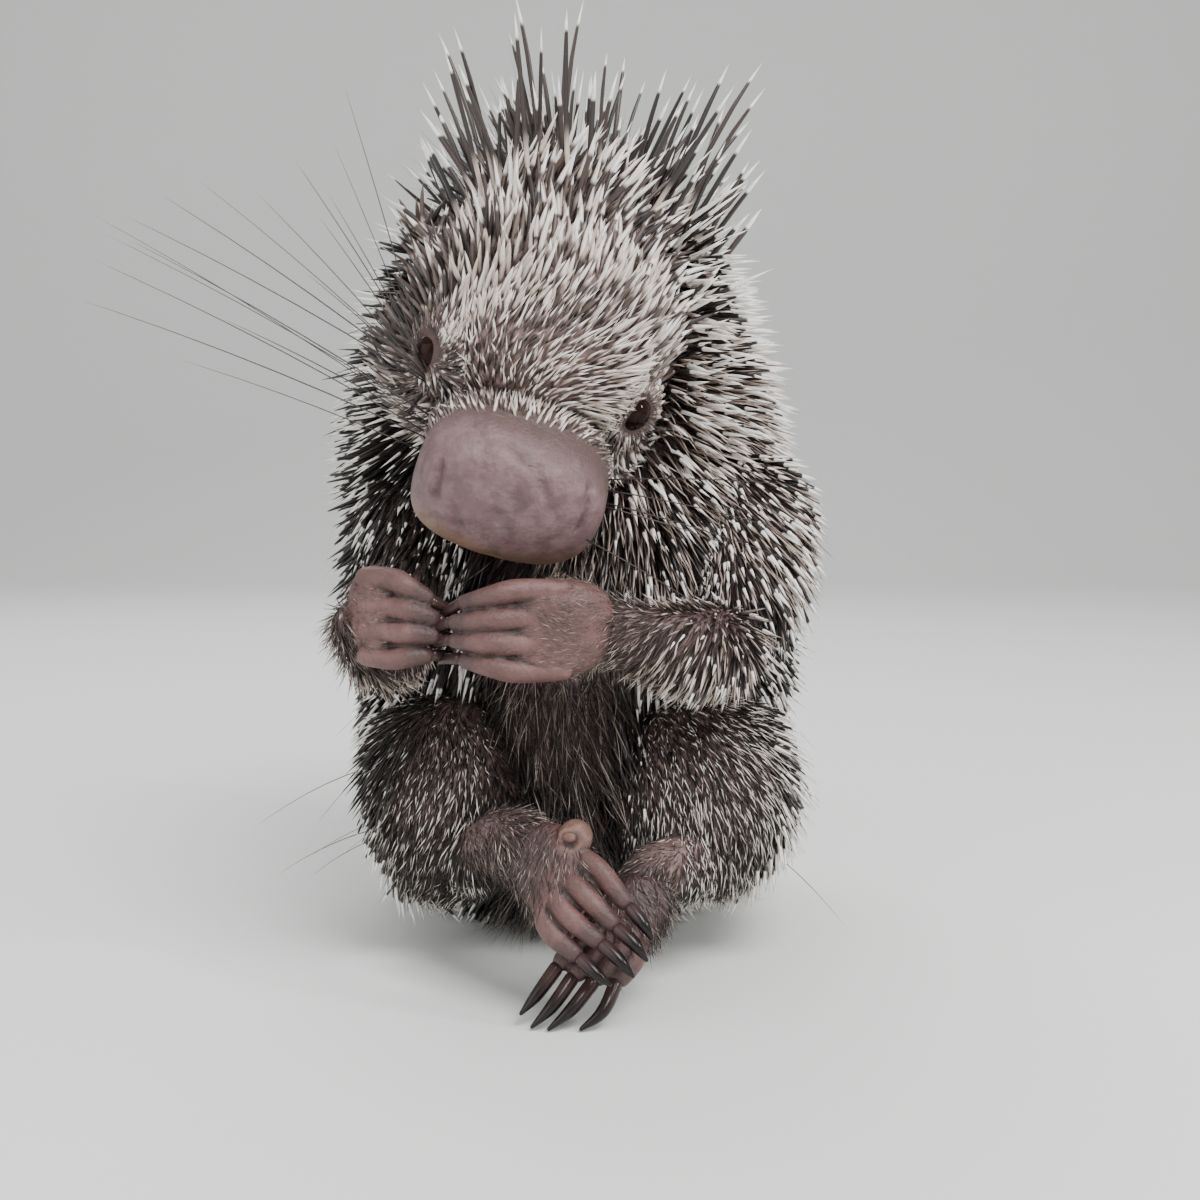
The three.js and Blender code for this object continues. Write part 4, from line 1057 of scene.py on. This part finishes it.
def coat_material(name, root, dark, pale, roughness=0.4, edge=0.03, pale_root=0.1):
    """Root is one colour, up to the share pale_root; dark and pale are pairs that the shade mixes."""
    _, tree, shader = made = new_material(name, roughness)
    shade = attribute(tree, "shade")
    past = math_node(tree, "SUBTRACT", attribute(tree, "along"), attribute(tree, "band"))
    rooted = ramp(tree, attribute(tree, "along"), pale_root, pale_root + 0.15)
    shaft = blend(tree, rooted, root, blend(tree, shade, *dark))
    colour = blend(tree, ramp(tree, past, -edge, edge), shaft, blend(tree, shade, *pale))
    tree.links.new(colour, shader.inputs["Base Color"])
    return made[0]


BLACK, SOOT = (0.008, 0.006, 0.006), (0.03, 0.021, 0.019)
UMBER, BROWN = (0.055, 0.036, 0.031), (0.11, 0.072, 0.062)
TAUPE, FAWN = (0.22, 0.165, 0.145), (0.44, 0.34, 0.29)
CREAM, WHITE = (0.64, 0.53, 0.46), (0.86, 0.8, 0.75)
SNOW = (0.95, 0.93, 0.9)
quill_finish = coat_material("quill", CREAM, (BLACK, SOOT), (WHITE, SNOW), 0.36, 0.02)
long_finish = coat_material("long_quill", CREAM, (BLACK, UMBER), (WHITE, SNOW), 0.34, 0.015, pale_root=0.3)
head_finish = coat_material("head_quill", CREAM, (BLACK, BROWN), (CREAM, SNOW), 0.42, 0.04, pale_root=0.2)
face_finish = coat_material("face_quill", TAUPE, (SOOT, TAUPE), (FAWN, WHITE), 0.5, 0.1)
bristle_finish = coat_material("bristle", SOOT, (BLACK, UMBER), (CREAM, SNOW), 0.45, 0.07)
brindle_finish = coat_material("brindle", SOOT, (SOOT, BROWN), (TAUPE, CREAM), 0.5, 0.1)
fur_finish = coat_material("fur", SOOT, (BLACK, UMBER), (TAUPE, CREAM), 0.6, 0.1)
down_finish = coat_material("down", BROWN, (UMBER, TAUPE), (TAUPE, CREAM), 0.5, 0.1)

# %% [markdown]
# The coat has layers, as on the animal: a dark underfur close to the skin, bristles on the belly and
# legs, banded quills over the flanks and head, and the long quills of the crown above them all.

# %% Where each layer grows
EYE_CLEAR = 7.6  # no fur grows nearer than this to an eye's centre
LID_FUR = (7, 15)  # the fine fur of the lids, from an eye's centre
FOLD_X = -13  # where the thighs meet
BELLY_TOP, FLANK_TOP, FLANK_LOW, CROWN_LOW = 165, 214, 6, 196  # heights
BELLY_HALF = [[50, 14], [90, 17], [120, 13], [165, 9]]  # half width at each height
MUZZLE_FROM, BRIDGE_TO, CHIN = 32, 28, -30  # forward and up in the head
CROWN_FROM, CROWN_HALF, NAPE_HALF = -34, 27, 34
# painted shade on the animal's right: where it begins, in millimetres, and how far it pushes back the pale
# tips
SHADED_FROM, SHADED_MORE = 22, 0.3  # on the animal's right


def eye_distance(at):
    return np.min([np.linalg.norm(at - eye_at(w), axis=1) for w in SIDES.values()], axis=0)


def dithered(score, seed):
    """Keeps each root with a chance of its score, so that two layers fade into each other."""
    return score > np.random.default_rng(seed).random(len(score))


def on_belly(roots):
    at = roots["at"]
    half = table(BELLY_HALF, at[:, 2])
    inside = soft_step(half + 5 - np.abs(at[:, 0] - FOLD_X), 0, 10)
    return dithered(inside * (roots["normal"][:, 1] < -0.2) * (at[:, 2] < BELLY_TOP), 301)


def bare_face(roots):
    """The naked muzzle and the rims of the eyes."""
    forward, _, up = head_places(roots["at"])
    bridge = (forward < BRIDGE_TO) & (up > -10)
    naked = (closeness(roots["place"], ["muzzle"], 0.4, 1.6) > 0.5) & ~bridge
    naked |= forward > MUZZLE_FROM
    return naked | (eye_distance(roots["at"]) < EYE_CLEAR)


def face_zone(low, high):
    """The furred face from low to high, in millimetres forward in the head."""
    def wanted(roots):
        forward, _, up = head_places(roots["at"])
        return (forward > low) & (forward <= high) & (up > CHIN) & ~bare_face(roots)
    return wanted


def lid_zone(roots):
    away = eye_distance(roots["at"])
    return (away > LID_FUR[0]) & (away < LID_FUR[1])


def cheek_zone(roots):
    forward, aside, up = head_places(roots["at"])
    beside = (np.abs(aside) > 12) & (up < 6)
    return beside & (forward > CROWN_FROM) & (forward < 10) & ~bare_face(roots)


def crown_zone(roots):
    forward, aside, up = head_places(roots["at"])
    on_head = (roots["kind"] == "skull") & (forward < CROWN_FROM) & (up > 0) & (np.abs(aside) < CROWN_HALF)
    narrow = np.abs(roots["at"][:, 0] - BODY_X) < NAPE_HALF
    return on_head | ((roots["kind"] == "trunk") & (roots["at"][:, 2] > CROWN_LOW) & narrow)


def flank_zone(way):
    def wanted(roots):
        x, _, height = roots["at"].T
        return ~on_belly(roots) & (height < FLANK_TOP) & (height > FLANK_LOW) & ((x - BODY_X) * way > 0)
    return wanted


def back_zone(roots):
    return ~on_belly(roots) & (roots["at"][:, 2] > 3)


def chest_zone(roots):
    """The front of the chest beside the cheeks, where fine grey bristles mix with the quills."""
    at, height = roots["at"], roots["at"][:, 2]
    level = soft_step(height, 104, 124) * (1 - soft_step(height, 178, 196))
    return dithered(level * soft_step(-roots["normal"][:, 1], 0.05, 0.4) * (at[:, 0] > FOLD_X), 305)


def hip_zone(roots):
    """The outer side of the thighs, where quills mix with the bristles."""
    return dithered(soft_step(np.abs(roots["normal"][:, 0]), 0.45, 0.8), 303)


def by_paw(roots, reach):
    """1 beside a bare hand or foot, 0 this many millimetres above a hand, or half as many above a foot."""
    place = roots["place"]
    return np.maximum(closeness(place, ["palm"], 3, reach), closeness(place, ["instep"], 2, reach / 2))


def near_hand(roots):
    """Between the bare hands or feet and the longer coat of the limbs."""
    return dithered(by_paw(roots, 26), 302)


def far_from_hand(reach, seed):
    """The coat of the limbs, faded out over this many millimetres above the bare hands and feet."""
    return lambda roots: ~dithered(by_paw(roots, reach), seed)


def leg_zone(way):
    return lambda roots: ((roots["at"][:, 0] - FOLD_X) * way > 0) & ~near_hand(roots)


def near_tail_root(reach):
    return lambda roots: np.linalg.norm(roots["at"] - TAIL_ROOT, axis=1) < reach


# %% How far each layer's pale tips reach
def steady(roots):
    return 0


def darker_inside(roots):
    """Pushes the pale tips off the quills near the fold between the thighs."""
    x, y, height = roots["at"].T
    inside = np.clip((24 - np.abs(x - FOLD_X)) / 14, 0, 1)
    return inside * np.clip((150 - height) / 20, 0, 1) * np.clip(-y / 30, 0, 1)


def shaded_side(roots):
    """Shortens the pale tips on the animal's right, as painted shade for the side that faces away from the
    key light.
    """
    return SHADED_MORE * soft_step(BODY_X - SHADED_FROM - roots["at"][:, 0], 0, 22)


def patchy(roots):
    """Pale tips that are longer in some patches than in others, shorter in the folds, and shorter on the
    animal's right as painted shade.
    """
    return darker_inside(roots) + 0.6 * shaded_side(roots) + 0.1 * drift(roots["at"], 11)[:, 3]


def mixed(roots):
    """Smaller patches, for the head, with the painted shade of the animal's right."""
    return shaded_side(roots) + 0.16 * drift(roots["at"], 8)[:, 3]


# %% Layers of the coat
coat = []


def layer(name, pattern, finish, spacing, seed, kinds, half, band, share=1.0, least=0.0, wanted=None,
          bend=0.06, fade=steady):
    """Grows one layer of the coat.

    Half and band are ranges to draw from, spacing and least are millimetres, share scales the full
    length, and fade is added to the band.
    """
    draw = np.random.default_rng(seed)
    roots = spread(spacing, seed, kinds, wanted)
    direction, length = lie_of(roots, draw)
    count = len(length)
    length = np.maximum(length * share, least) * draw.uniform(0.8, 1.15, count)
    thick = draw.uniform(*half, count)
    bands = draw.uniform(*band, count) + fade(roots)
    curl = unit(draw.normal(size=(count, 3))) * bend + np.array([0, 0, -0.5 * bend])
    piece = grow(name, pattern, roots, direction, length, thick, bands, curl, seed)
    piece.data.materials.append(finish)
    coat.append(piece)


LIMBS = ["upper_arm", "forearm", "wrist", "thigh", "shank"]
layer("face_grains", GRAIN, face_finish, 1.5, 101, [*FACE, "muzzle"], (0.34, 0.52), (0.05, 0.8), least=4.6,
      wanted=face_zone(4, 60), fade=mixed, bend=0.12)
layer("lid_grains", GRAIN, face_finish, 1.0, 126, FACE, (0.16, 0.28), (0.3, 0.9), share=0.5, least=1.9,
      wanted=lid_zone, fade=mixed)
layer("face_quills", SPINDLE, face_finish, 2.4, 102, FACE, (0.56, 0.86), (0.15, 0.8), share=1.15,
      wanted=face_zone(-18, 9), fade=mixed, bend=0.1)
layer("head_quills", SPINDLE, head_finish, 3.0, 103, FACE, (0.62, 0.98), (0.4, 0.95), share=1.1,
      wanted=face_zone(-70, -9), fade=mixed, bend=0.1)
layer("cheek_quills", SPINDLE, bristle_finish, 2.6, 107, FACE, (0.32, 0.5), (0.5, 0.9), share=1.25, least=9,
      wanted=cheek_zone, fade=mixed, bend=0.14)
layer("crown_short", SPINDLE, long_finish, 4.8, 105, ["skull", "trunk"], (0.6, 0.85), (0.68, 0.9),
      share=0.62, wanted=crown_zone, bend=0.12)
for side, way in SIDES.items():
    layer("flank_quills_" + side, SPINDLE, quill_finish, 2.9, 106 + way, ["trunk"], (0.56, 0.88),
          (0.54, 0.82), wanted=flank_zone(way), fade=patchy)
layer("arm_quills", SPINDLE, quill_finish, 2.7, 120, ["upper_arm"], (0.54, 0.84), (0.53, 0.82), fade=patchy)
layer("elbow_quills", SPINDLE, quill_finish, 3.0, 122, ["forearm"], (0.4, 0.64), (0.5, 0.85),
      wanted=far_from_hand(46, 304), fade=patchy)
layer("hip_quills", SPINDLE, quill_finish, 3.2, 123, ["thigh"], (0.4, 0.62), (0.55, 0.8), share=1.7,
      wanted=hip_zone, fade=patchy)
layer("chest_bristles", SPINDLE, brindle_finish, 1.9, 124, ["trunk", "upper_arm"], (0.24, 0.4), (0.3, 0.8),
      share=0.9, wanted=chest_zone, bend=0.14)
layer("forearm_bristles", SPINDLE, brindle_finish, 1.9, 108, ["forearm"], (0.22, 0.36), (0.35, 0.8),
      wanted=far_from_hand(26, 302))
layer("wrist_bristles", BRISTLE, brindle_finish, 1.2, 121, ["forearm", "wrist", "shank"], (0.12, 0.2),
      (0.5, 1.1), bend=0.2, wanted=near_hand)
for side, way in SIDES.items():
    layer("leg_bristles_" + side, BRISTLE, bristle_finish, 1.3, 109 + 20 * way, ["thigh", "shank"],
          (0.14, 0.24), (0.5, 0.95), bend=0.2, fade=patchy, wanted=leg_zone(way))
layer("tail_quills", SPINDLE, bristle_finish, 3.2, 110, ["tail"], (0.35, 0.5), (0.5, 0.7),
      wanted=near_tail_root(60))
layer("belly_fur", BRISTLE, fur_finish, 1.2, 111, ["trunk"], (0.09, 0.15), (0.5, 1.5), bend=0.5,
      wanted=on_belly)
layer("back_underfur", HAIR, fur_finish, 2.2, 112, ["trunk"], (0.16, 0.22), (1, 1.3), share=0.6, bend=0.2,
      wanted=back_zone)
layer("limb_underfur", HAIR, fur_finish, 1.6, 113, LIMBS, (0.11, 0.17), (0.95, 1.4), share=0.75, bend=0.2,
      fade=darker_inside)
layer("head_underfur", HAIR, brindle_finish, 2.0, 114, FACE, (0.12, 0.18), (0.9, 1.3), share=0.5, bend=0.2,
      wanted=face_zone(-70, 2))
layer("paw_down", BRISTLE, down_finish, 1.15, 115, ["palm", "wrist"], (0.045, 0.08), (0.5, 1.3), least=3.5,
      bend=0.3)
layer("foot_down", BRISTLE, fur_finish, 0.85, 125, ["instep"], (0.06, 0.1), (0.5, 1.4), least=3.8, bend=0.4)
layer("tail_bristles", HAIR, fur_finish, 2.4, 116, ["tail"], (0.1, 0.16), (0.9, 1.3), bend=0.15,
      wanted=lambda roots: ~near_tail_root(50)(roots))

# %% [markdown]
# The long crown quills fan out from a point deep in the neck. The ones that stand out most are placed
# one by one: each is aimed from that point at its own tip, and a ray that runs back from the tip finds its
# root on the skin. Others of mixed length fill in between. Each is bent a little, its last few millimetres
# are white, and its foot is cream.

# %% The crown of long quills
FAN_FROM = np.array([-12.0, -36.0, 150.0])
CROWN_TIPS = [  # how far sideways and how high each tip stands; its depth is drawn
    [-50, 285], [-25, 290], [-5, 290], [-30, 270], [-50, 270], [-50, 260], [-55, 250], [-20, 265],
    [5, 265], [20, 270], [30, 270], [40, 275], [50, 275], [50, 265], [45, 250], [50, 240], [50, 230],
]
skin_tree = BVHTree.FromPolygons(skin_corners.tolist(), faces.reshape(-1, 3).tolist())


def roots_on(found):
    """Roots from what the skin's search tree found."""
    place = np.array([hit[0] for hit in found])
    face = np.array([hit[2] for hit in found])
    at = place / MM - SHIFT
    return {"place": place, "normal": face_normals[face], "layout": layout[face].mean(1), "at": at}


def long_quills(name, roots, direction, length, half, tip, seed):
    draw = np.random.default_rng(seed)
    count = len(length)
    outwards = unit((roots["at"] - FAN_FROM) * [1, 1, 0] + direction * [1, 1, 0])
    curl = unit(0.5 * draw.normal(size=(count, 3)) + outwards) * draw.uniform(0.05, 0.24, (count, 1))
    straight = (direction - curl) * length[:, None]
    bow, length = curl * length[:, None], np.linalg.norm(straight, axis=1)
    band = 1 - draw.uniform(*tip, count) / (length + SINK)
    thick = draw.uniform(*half, count)
    piece = grow(name, NEEDLE, roots, unit(straight), length, thick, band, bow / length[:, None], seed)
    piece.data.materials.append(long_finish)
    coat.append(piece)


depths = np.random.default_rng(137).uniform(-56, -18, len(CROWN_TIPS))
tips = np.insert(np.array(CROWN_TIPS, float), 1, depths, axis=1)
aims = unit(FAN_FROM - tips)
hits = [skin_tree.ray_cast(Vector(start), Vector(aim)) for start, aim in zip(placed(tips), aims)]
tip_roots = roots_on(hits)
tip_lengths = np.linalg.norm(tips - tip_roots["at"], axis=1)
long_quills("crown_long", tip_roots, -aims, tip_lengths, (0.7, 0.95), (5, 9), 104)
fill_roots = spread(6.6, 134, ["skull", "trunk"], crown_zone)
draw = np.random.default_rng(135)
fan = unit(fill_roots["at"] - FAN_FROM) + draw.uniform(-0.28, 0.28, fill_roots["at"].shape)
fan += 0.2 * fill_roots["normal"]
long_quills("crown_fill", fill_roots, unit(fan), draw.uniform(24, 56, len(fan)), (0.6, 0.85), (4, 8), 136)

# %% [markdown]
# The whiskers are few and long, so each is placed by its own root and tip in the head's axes, with
# others drawn between them. Most are on the animal's right, where they sweep up and back.

# %% Whiskers and long guard hairs
WHISKERS = {
    "right": [
        [[18, -27, -14], [10, -125, 0]],
        [[16, -28, -10], [-10, -130, 15]],
        [[14, -28, -8], [-10, -120, 10]],
        [[11, -28, -5], [-20, -115, 20]],
        [[8, -29, -3], [-25, -90, 25]],
        [[4, -30, 0], [-55, -75, 50]],
        [[9, -29, -1], [-25, -70, 30]],
        [[12, -28, -6], [-5, -70, 15]],
        [[20, -26, -18], [20, -95, -5]],
    ],
    "left": [[[34, 21, -8], [40, 80, 0]], [[30, 21, -4], [40, 70, 25]], [[38, 20, -15], [50, 65, -20]]],
}
FINE = strand("fine", 4, [[0, 1], [0.15, 0.95], [0.3, 0.9], [0.45, 0.82], [0.6, 0.7], [0.75, 0.55],
                          [0.9, 0.35], [1, 0.12]])


def long_hairs(name, starts, ends, half, bend, seed):
    starts, ends = np.array(starts), np.array(ends)
    roots = roots_on([skin_tree.find_nearest(Vector(p)) for p in placed(starts)])
    reach = ends - roots["at"]
    length = np.linalg.norm(reach, axis=1)
    curl = np.tile(np.array([0, 0.02, -bend]), (len(length), 1))
    piece = grow(name, FINE, roots, unit(reach), length, half, 1.4, curl, seed)
    piece.data.materials.append(bristle_finish)
    coat.append(piece)


def whisker_ends(seed):
    draw = np.random.default_rng(seed)
    starts, ends = [], []
    for row in WHISKERS.values():
        row = np.array(row, float)
        between = (row[:-1] + row[1:]) / 2 + draw.uniform(-6, 6, row[1:].shape) * [[[0.2], [1]]]
        for start, end in np.vstack([row, between]):
            starts.append(in_head(*start))
            ends.append(in_head(*end))
    return starts, ends


long_hairs("whiskers", *whisker_ends(201), 0.21, 0.07, 202)


def low_flank(roots):
    return (roots["at"][:, 2] < 95) & (np.abs(roots["normal"][:, 0]) > 0.6)


def guard_hair_ends(count, seed):
    """Long thin hairs that stand out of the lower flanks."""
    roots = spread(9, seed, ["trunk", "thigh"], low_flank)
    draw = np.random.default_rng(seed)
    chosen = draw.choice(len(roots["at"]), count, replace=False)
    at, normal = roots["at"][chosen], roots["normal"][chosen]
    out = unit(normal * [1, 0.4, 0] + [0, 0, -0.45] + draw.uniform(-0.25, 0.25, (count, 3)))
    return at, at + out * draw.uniform(26, 46, (count, 1))


long_hairs("guard_hairs", *guard_hair_ends(20, 203), 0.15, 0.25, 204)
print("coat", sum(len(piece.data.polygons) for piece in coat), "triangles in", len(coat), "pieces")

# %% [markdown]
# The eyes are the wet points of the face. An eyeball is a sphere whose front bulges a little into the
# cornea. An attribute tells how far each corner lies from the line of sight, and the material
# paints the iris and the pupil from it.

# %% Eyes
def eyeball(name, way):
    bpy.ops.mesh.primitive_uv_sphere_add(segments=48, ring_count=32, radius=1)
    eye = bpy.context.object
    eye.name = "eye_ball_" + name
    ball = corners_of(eye)
    gaze = ball[:, 2].copy()
    bulge = 1 + 0.05 * np.clip((gaze - 0.72) / 0.28, 0, 1) ** 2
    turn = np.array(Vector(eye_facing(way)).to_track_quat("Z", "Y").to_matrix())
    shaped = ball * bulge[:, None] * (EYE_RADIUS - 0.15) @ turn.T
    move_corners(eye, placed(shaped + eye_at(way)))
    give(eye, "gaze", gaze)
    eye.data.shade_smooth()
    return eye


def eye_material():
    material, tree, shader = new_material("wet_eye", 0.06, Specular_IOR_Level=0.1)
    gaze = attribute(tree, "gaze")
    iris = blend(tree, ramp(tree, gaze, 0.84, 0.9), (0.013, 0.005, 0.004), (0.02, 0.007, 0.005))
    colour = blend(tree, ramp(tree, gaze, 0.92, 0.96), iris, (0.009, 0.0035, 0.003))
    tree.links.new(colour, shader.inputs["Base Color"])
    return material


wet = eye_material()
eyes = {name: eyeball(name, way) for name, way in SIDES.items()}
for eye in eyes.values():
    eye.data.materials.append(wet)
print("eyes", [eye.name for eye in eyes.values()])

# %% Claws
def claw_row(name, limbs):
    made = []
    for limb in limbs:
        bpy.ops.mesh.primitive_uv_sphere_add(segments=20, ring_count=28, radius=1)
        claw = bpy.context.object
        ball = corners_of(claw)
        move_corners(claw, placed(limb.around(ball)))
        give(claw, "along", (1 - ball[:, 2]) / 2)
        give(claw, "turn", np.arctan2(ball[:, 1], ball[:, 0]))
        made.append(claw)
    row = join(made, "claws_" + name)
    row.data.shade_smooth()
    return row


def horn_material():
    material, tree, shader = new_material("horn", 0.24, Specular_IOR_Level=0.3)
    streak = node(tree, "TexNoise")
    streak.inputs["Scale"].default_value = 900
    tree.links.new(node(tree, "TexCoord").outputs["Object"], streak.inputs["Vector"])
    along = ramp(tree, attribute(tree, "along"), 0.2, 0.6)
    base = blend(tree, along, (0.045, 0.024, 0.022), (0.011, 0.007, 0.007))
    colour = blend(tree, ramp(tree, streak.outputs["Fac"], 0.5, 0.8, 0, 0.3), base, (0.05, 0.032, 0.028))
    tree.links.new(colour, shader.inputs["Base Color"])
    return material


horn = horn_material()
claw_rows = {name: claw_row(name, limbs) for name, limbs in claws.items()}
for row in claw_rows.values():
    row.data.materials.append(horn)
print("claws", list(claw_rows))

# %% Skin finish
def texture(tree, kind, scale, place, **inputs):
    made = node(tree, kind)
    made.inputs["Scale"].default_value = scale
    for key, value in inputs.items():
        made.inputs[key].default_value = value
    tree.links.new(place, made.inputs["Vector"])
    return made.outputs["Distance" if kind == "TexVoronoi" else "Fac"]


def area(tree, name, most=1.0):
    """How much of an area's colour a point takes, up to the most."""
    share = attribute(tree, name)
    return share if most == 1 else ramp(tree, share, 0, 1, 0, most)


SKIN_TONES = {  # a dark and a light tone of each kind of skin
    "body": ((0.045, 0.03, 0.027), (0.09, 0.062, 0.056)),
    "face": ((0.13, 0.08, 0.075), (0.24, 0.16, 0.15)),
    "tail": ((0.05, 0.038, 0.034), (0.1, 0.08, 0.07)),
    "pink": ((0.15, 0.088, 0.082), (0.26, 0.165, 0.155)),
    "paw": ((0.1, 0.047, 0.043), (0.17, 0.083, 0.077)),
    "pad": ((0.14, 0.072, 0.056), (0.2, 0.11, 0.088)),
    "nose": ((0.118, 0.064, 0.067), (0.17, 0.098, 0.102)),
}


def skin_material():
    material, tree, shader = new_material("skin", 0.48, Subsurface_Weight=0.06, Subsurface_Scale=0.003)
    place = node(tree, "TexCoord").outputs["Object"]
    spots = ramp(tree, texture(tree, "TexNoise", 90, place, Detail=5), 0.35, 0.7)
    specks = ramp(tree, texture(tree, "TexNoise", 420, place, Detail=4), 0.4, 0.68)
    blots = ramp(tree, texture(tree, "TexNoise", 190, place, Detail=6, Roughness=0.6), 0.4, 0.66)
    colour = blend(tree, spots, *SKIN_TONES["body"])
    for name, pattern in (("face", specks), ("tail", spots), ("pink", specks)):
        colour = blend(tree, area(tree, name), colour, blend(tree, pattern, *SKIN_TONES[name]))
    paw = blend(tree, spots, *SKIN_TONES["paw"])
    paw = blend(tree, area(tree, "dusky"), paw, (0.075, 0.044, 0.043))
    paw = blend(tree, ramp(tree, specks, 0, 1, 0, 0.4), paw, (0.09, 0.045, 0.042))
    paw = blend(tree, area(tree, "pad"), paw, blend(tree, specks, *SKIN_TONES["pad"]))
    paw = blend(tree, area(tree, "tip", 0.8), paw, (0.055, 0.03, 0.028))
    nose = blend(tree, spots, *SKIN_TONES["nose"])
    nose = blend(tree, ramp(tree, blots, 0, 1, 0, 0.6), nose, (0.22, 0.138, 0.142))
    nose = blend(tree, ramp(tree, specks, 0, 1, 0, 0.3), nose, (0.12, 0.068, 0.07))
    # painted shadow along the top edge of the muzzle, under the overhanging fur
    nose = blend(tree, area(tree, "painted_brow_shadow"), nose, (0.085, 0.05, 0.046))
    nose = blend(tree, area(tree, "low", 0.85), nose, (0.2, 0.115, 0.07))
    colour = blend(tree, area(tree, "paw"), colour, paw)
    colour = blend(tree, area(tree, "muzzle"), colour, nose)
    colour = blend(tree, area(tree, "rim"), colour, (0.06, 0.03, 0.026))
    # painted shade in the folds and creases, with less of it on the muzzle
    less_on_nose = ramp(tree, attribute(tree, "muzzle"), 0, 1, 0.85, 0.3)
    fold_shade = math_node(tree, "MULTIPLY", attribute(tree, "fold"), less_on_nose)
    colour = blend(tree, fold_shade, colour, (0.022, 0.011, 0.01))
    tree.links.new(colour, shader.inputs["Base Color"])
    pores = texture(tree, "TexVoronoi", 1000, place)
    wrinkles = texture(tree, "TexNoise", 330, place, Detail=6, Roughness=0.65)
    bump, wrinkled = node(tree, "Bump"), node(tree, "Bump")
    for made, height, strength, distance in ((bump, pores, 0.3, 0.0004), (wrinkled, wrinkles, 0.5, 0.0012)):
        made.inputs["Strength"].default_value = strength
        made.inputs["Distance"].default_value = distance
        tree.links.new(height, made.inputs["Height"])
    tree.links.new(bump.outputs["Normal"], wrinkled.inputs["Normal"])
    tree.links.new(wrinkled.outputs["Normal"], shader.inputs["Normal"])
    return material


skin.data.materials.clear()
skin.data.materials.append(skin_material())

# %% Floor, light and camera
CAMERA_AT = (0, -500, 145)
CAMERA_DOWN = 4.4  # degrees
FLOOR_SIZE, WALL_HEIGHT, WALL_BEND = 5, 3, 0.9  # metres


def choose_edges(obj, wanted):
    """Selects the edges whose two ends are both wanted, ready for edit mode."""
    for edge in obj.data.edges:
        edge.select = all(wanted(obj.data.vertices[i].co) for i in edge.vertices)


bpy.ops.mesh.primitive_plane_add(size=FLOOR_SIZE)
floor = bpy.context.object
floor.name = "floor"
bpy.ops.object.mode_set(mode="EDIT")
bpy.ops.mesh.select_all(action="DESELECT")
bpy.ops.object.mode_set(mode="OBJECT")
choose_edges(floor, lambda corner: corner.y > 2)
bpy.ops.object.mode_set(mode="EDIT")
bpy.ops.mesh.extrude_region_move(TRANSFORM_OT_translate={"value": (0, 0, WALL_HEIGHT)})
bpy.ops.object.mode_set(mode="OBJECT")
choose_edges(floor, lambda corner: corner.y > 2 and corner.z < 1)
bpy.ops.object.mode_set(mode="EDIT")
bpy.ops.mesh.bevel(offset=WALL_BEND, segments=16)
bpy.ops.object.mode_set(mode="OBJECT")
floor.data.shade_smooth()
pale_finish, _, _ = new_material("pale_floor", 0.9, Base_Color=(0.8, 0.81, 0.79, 1))
floor.data.materials.append(pale_finish)


def soft_light(name, at, size, power, aim=(0, 0, 0.14)):
    """An area light in metres and watts, turned towards its aim."""
    bpy.ops.object.light_add(type="AREA", location=at)
    light = bpy.context.object
    light.name = name
    light.data.size = size
    light.data.energy = power
    light.rotation_euler = (Vector(at) - Vector(aim)).to_track_quat("Z", "Y").to_euler()
    return light


soft_light("key_light", (0.55, -1.0, 1.35), 0.8, 30)
soft_light("fill_light", (-1.1, -0.9, 0.6), 1.2, 9)
soft_light("glint_light", (0.9, -0.456, 0.533), 0.09, 3.2)
soft_light("back_light", (-0.3, 0.9, 1.3), 1.0, 12)
world = bpy.data.worlds.new("room")
bpy.context.scene.world = world
world.use_nodes = True
background = world.node_tree.nodes["Background"]
background.inputs["Color"].default_value = (0.86, 0.88, 0.87, 1)
background.inputs["Strength"].default_value = 0.64
bpy.ops.object.camera_add(location=placed(CAMERA_AT), rotation=(math.radians(90 - CAMERA_DOWN), 0, 0))
camera = bpy.context.object
camera.data.lens = 45
camera.data.sensor_width = 36
bpy.context.scene.camera = camera

# %% Hide the solids that the pieces replace, and give each piece its body
flesh = [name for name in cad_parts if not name.startswith(("eye_", "claw_"))]
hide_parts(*flesh)
for name, eye in eyes.items():
    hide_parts("eye_" + name)
for name, row in claw_rows.items():
    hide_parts(*[node_name for node_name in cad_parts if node_name.startswith("claw_" + name)])
for piece in (skin, *coat, *eyes.values(), *claw_rows.values()):
    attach(piece, "root")
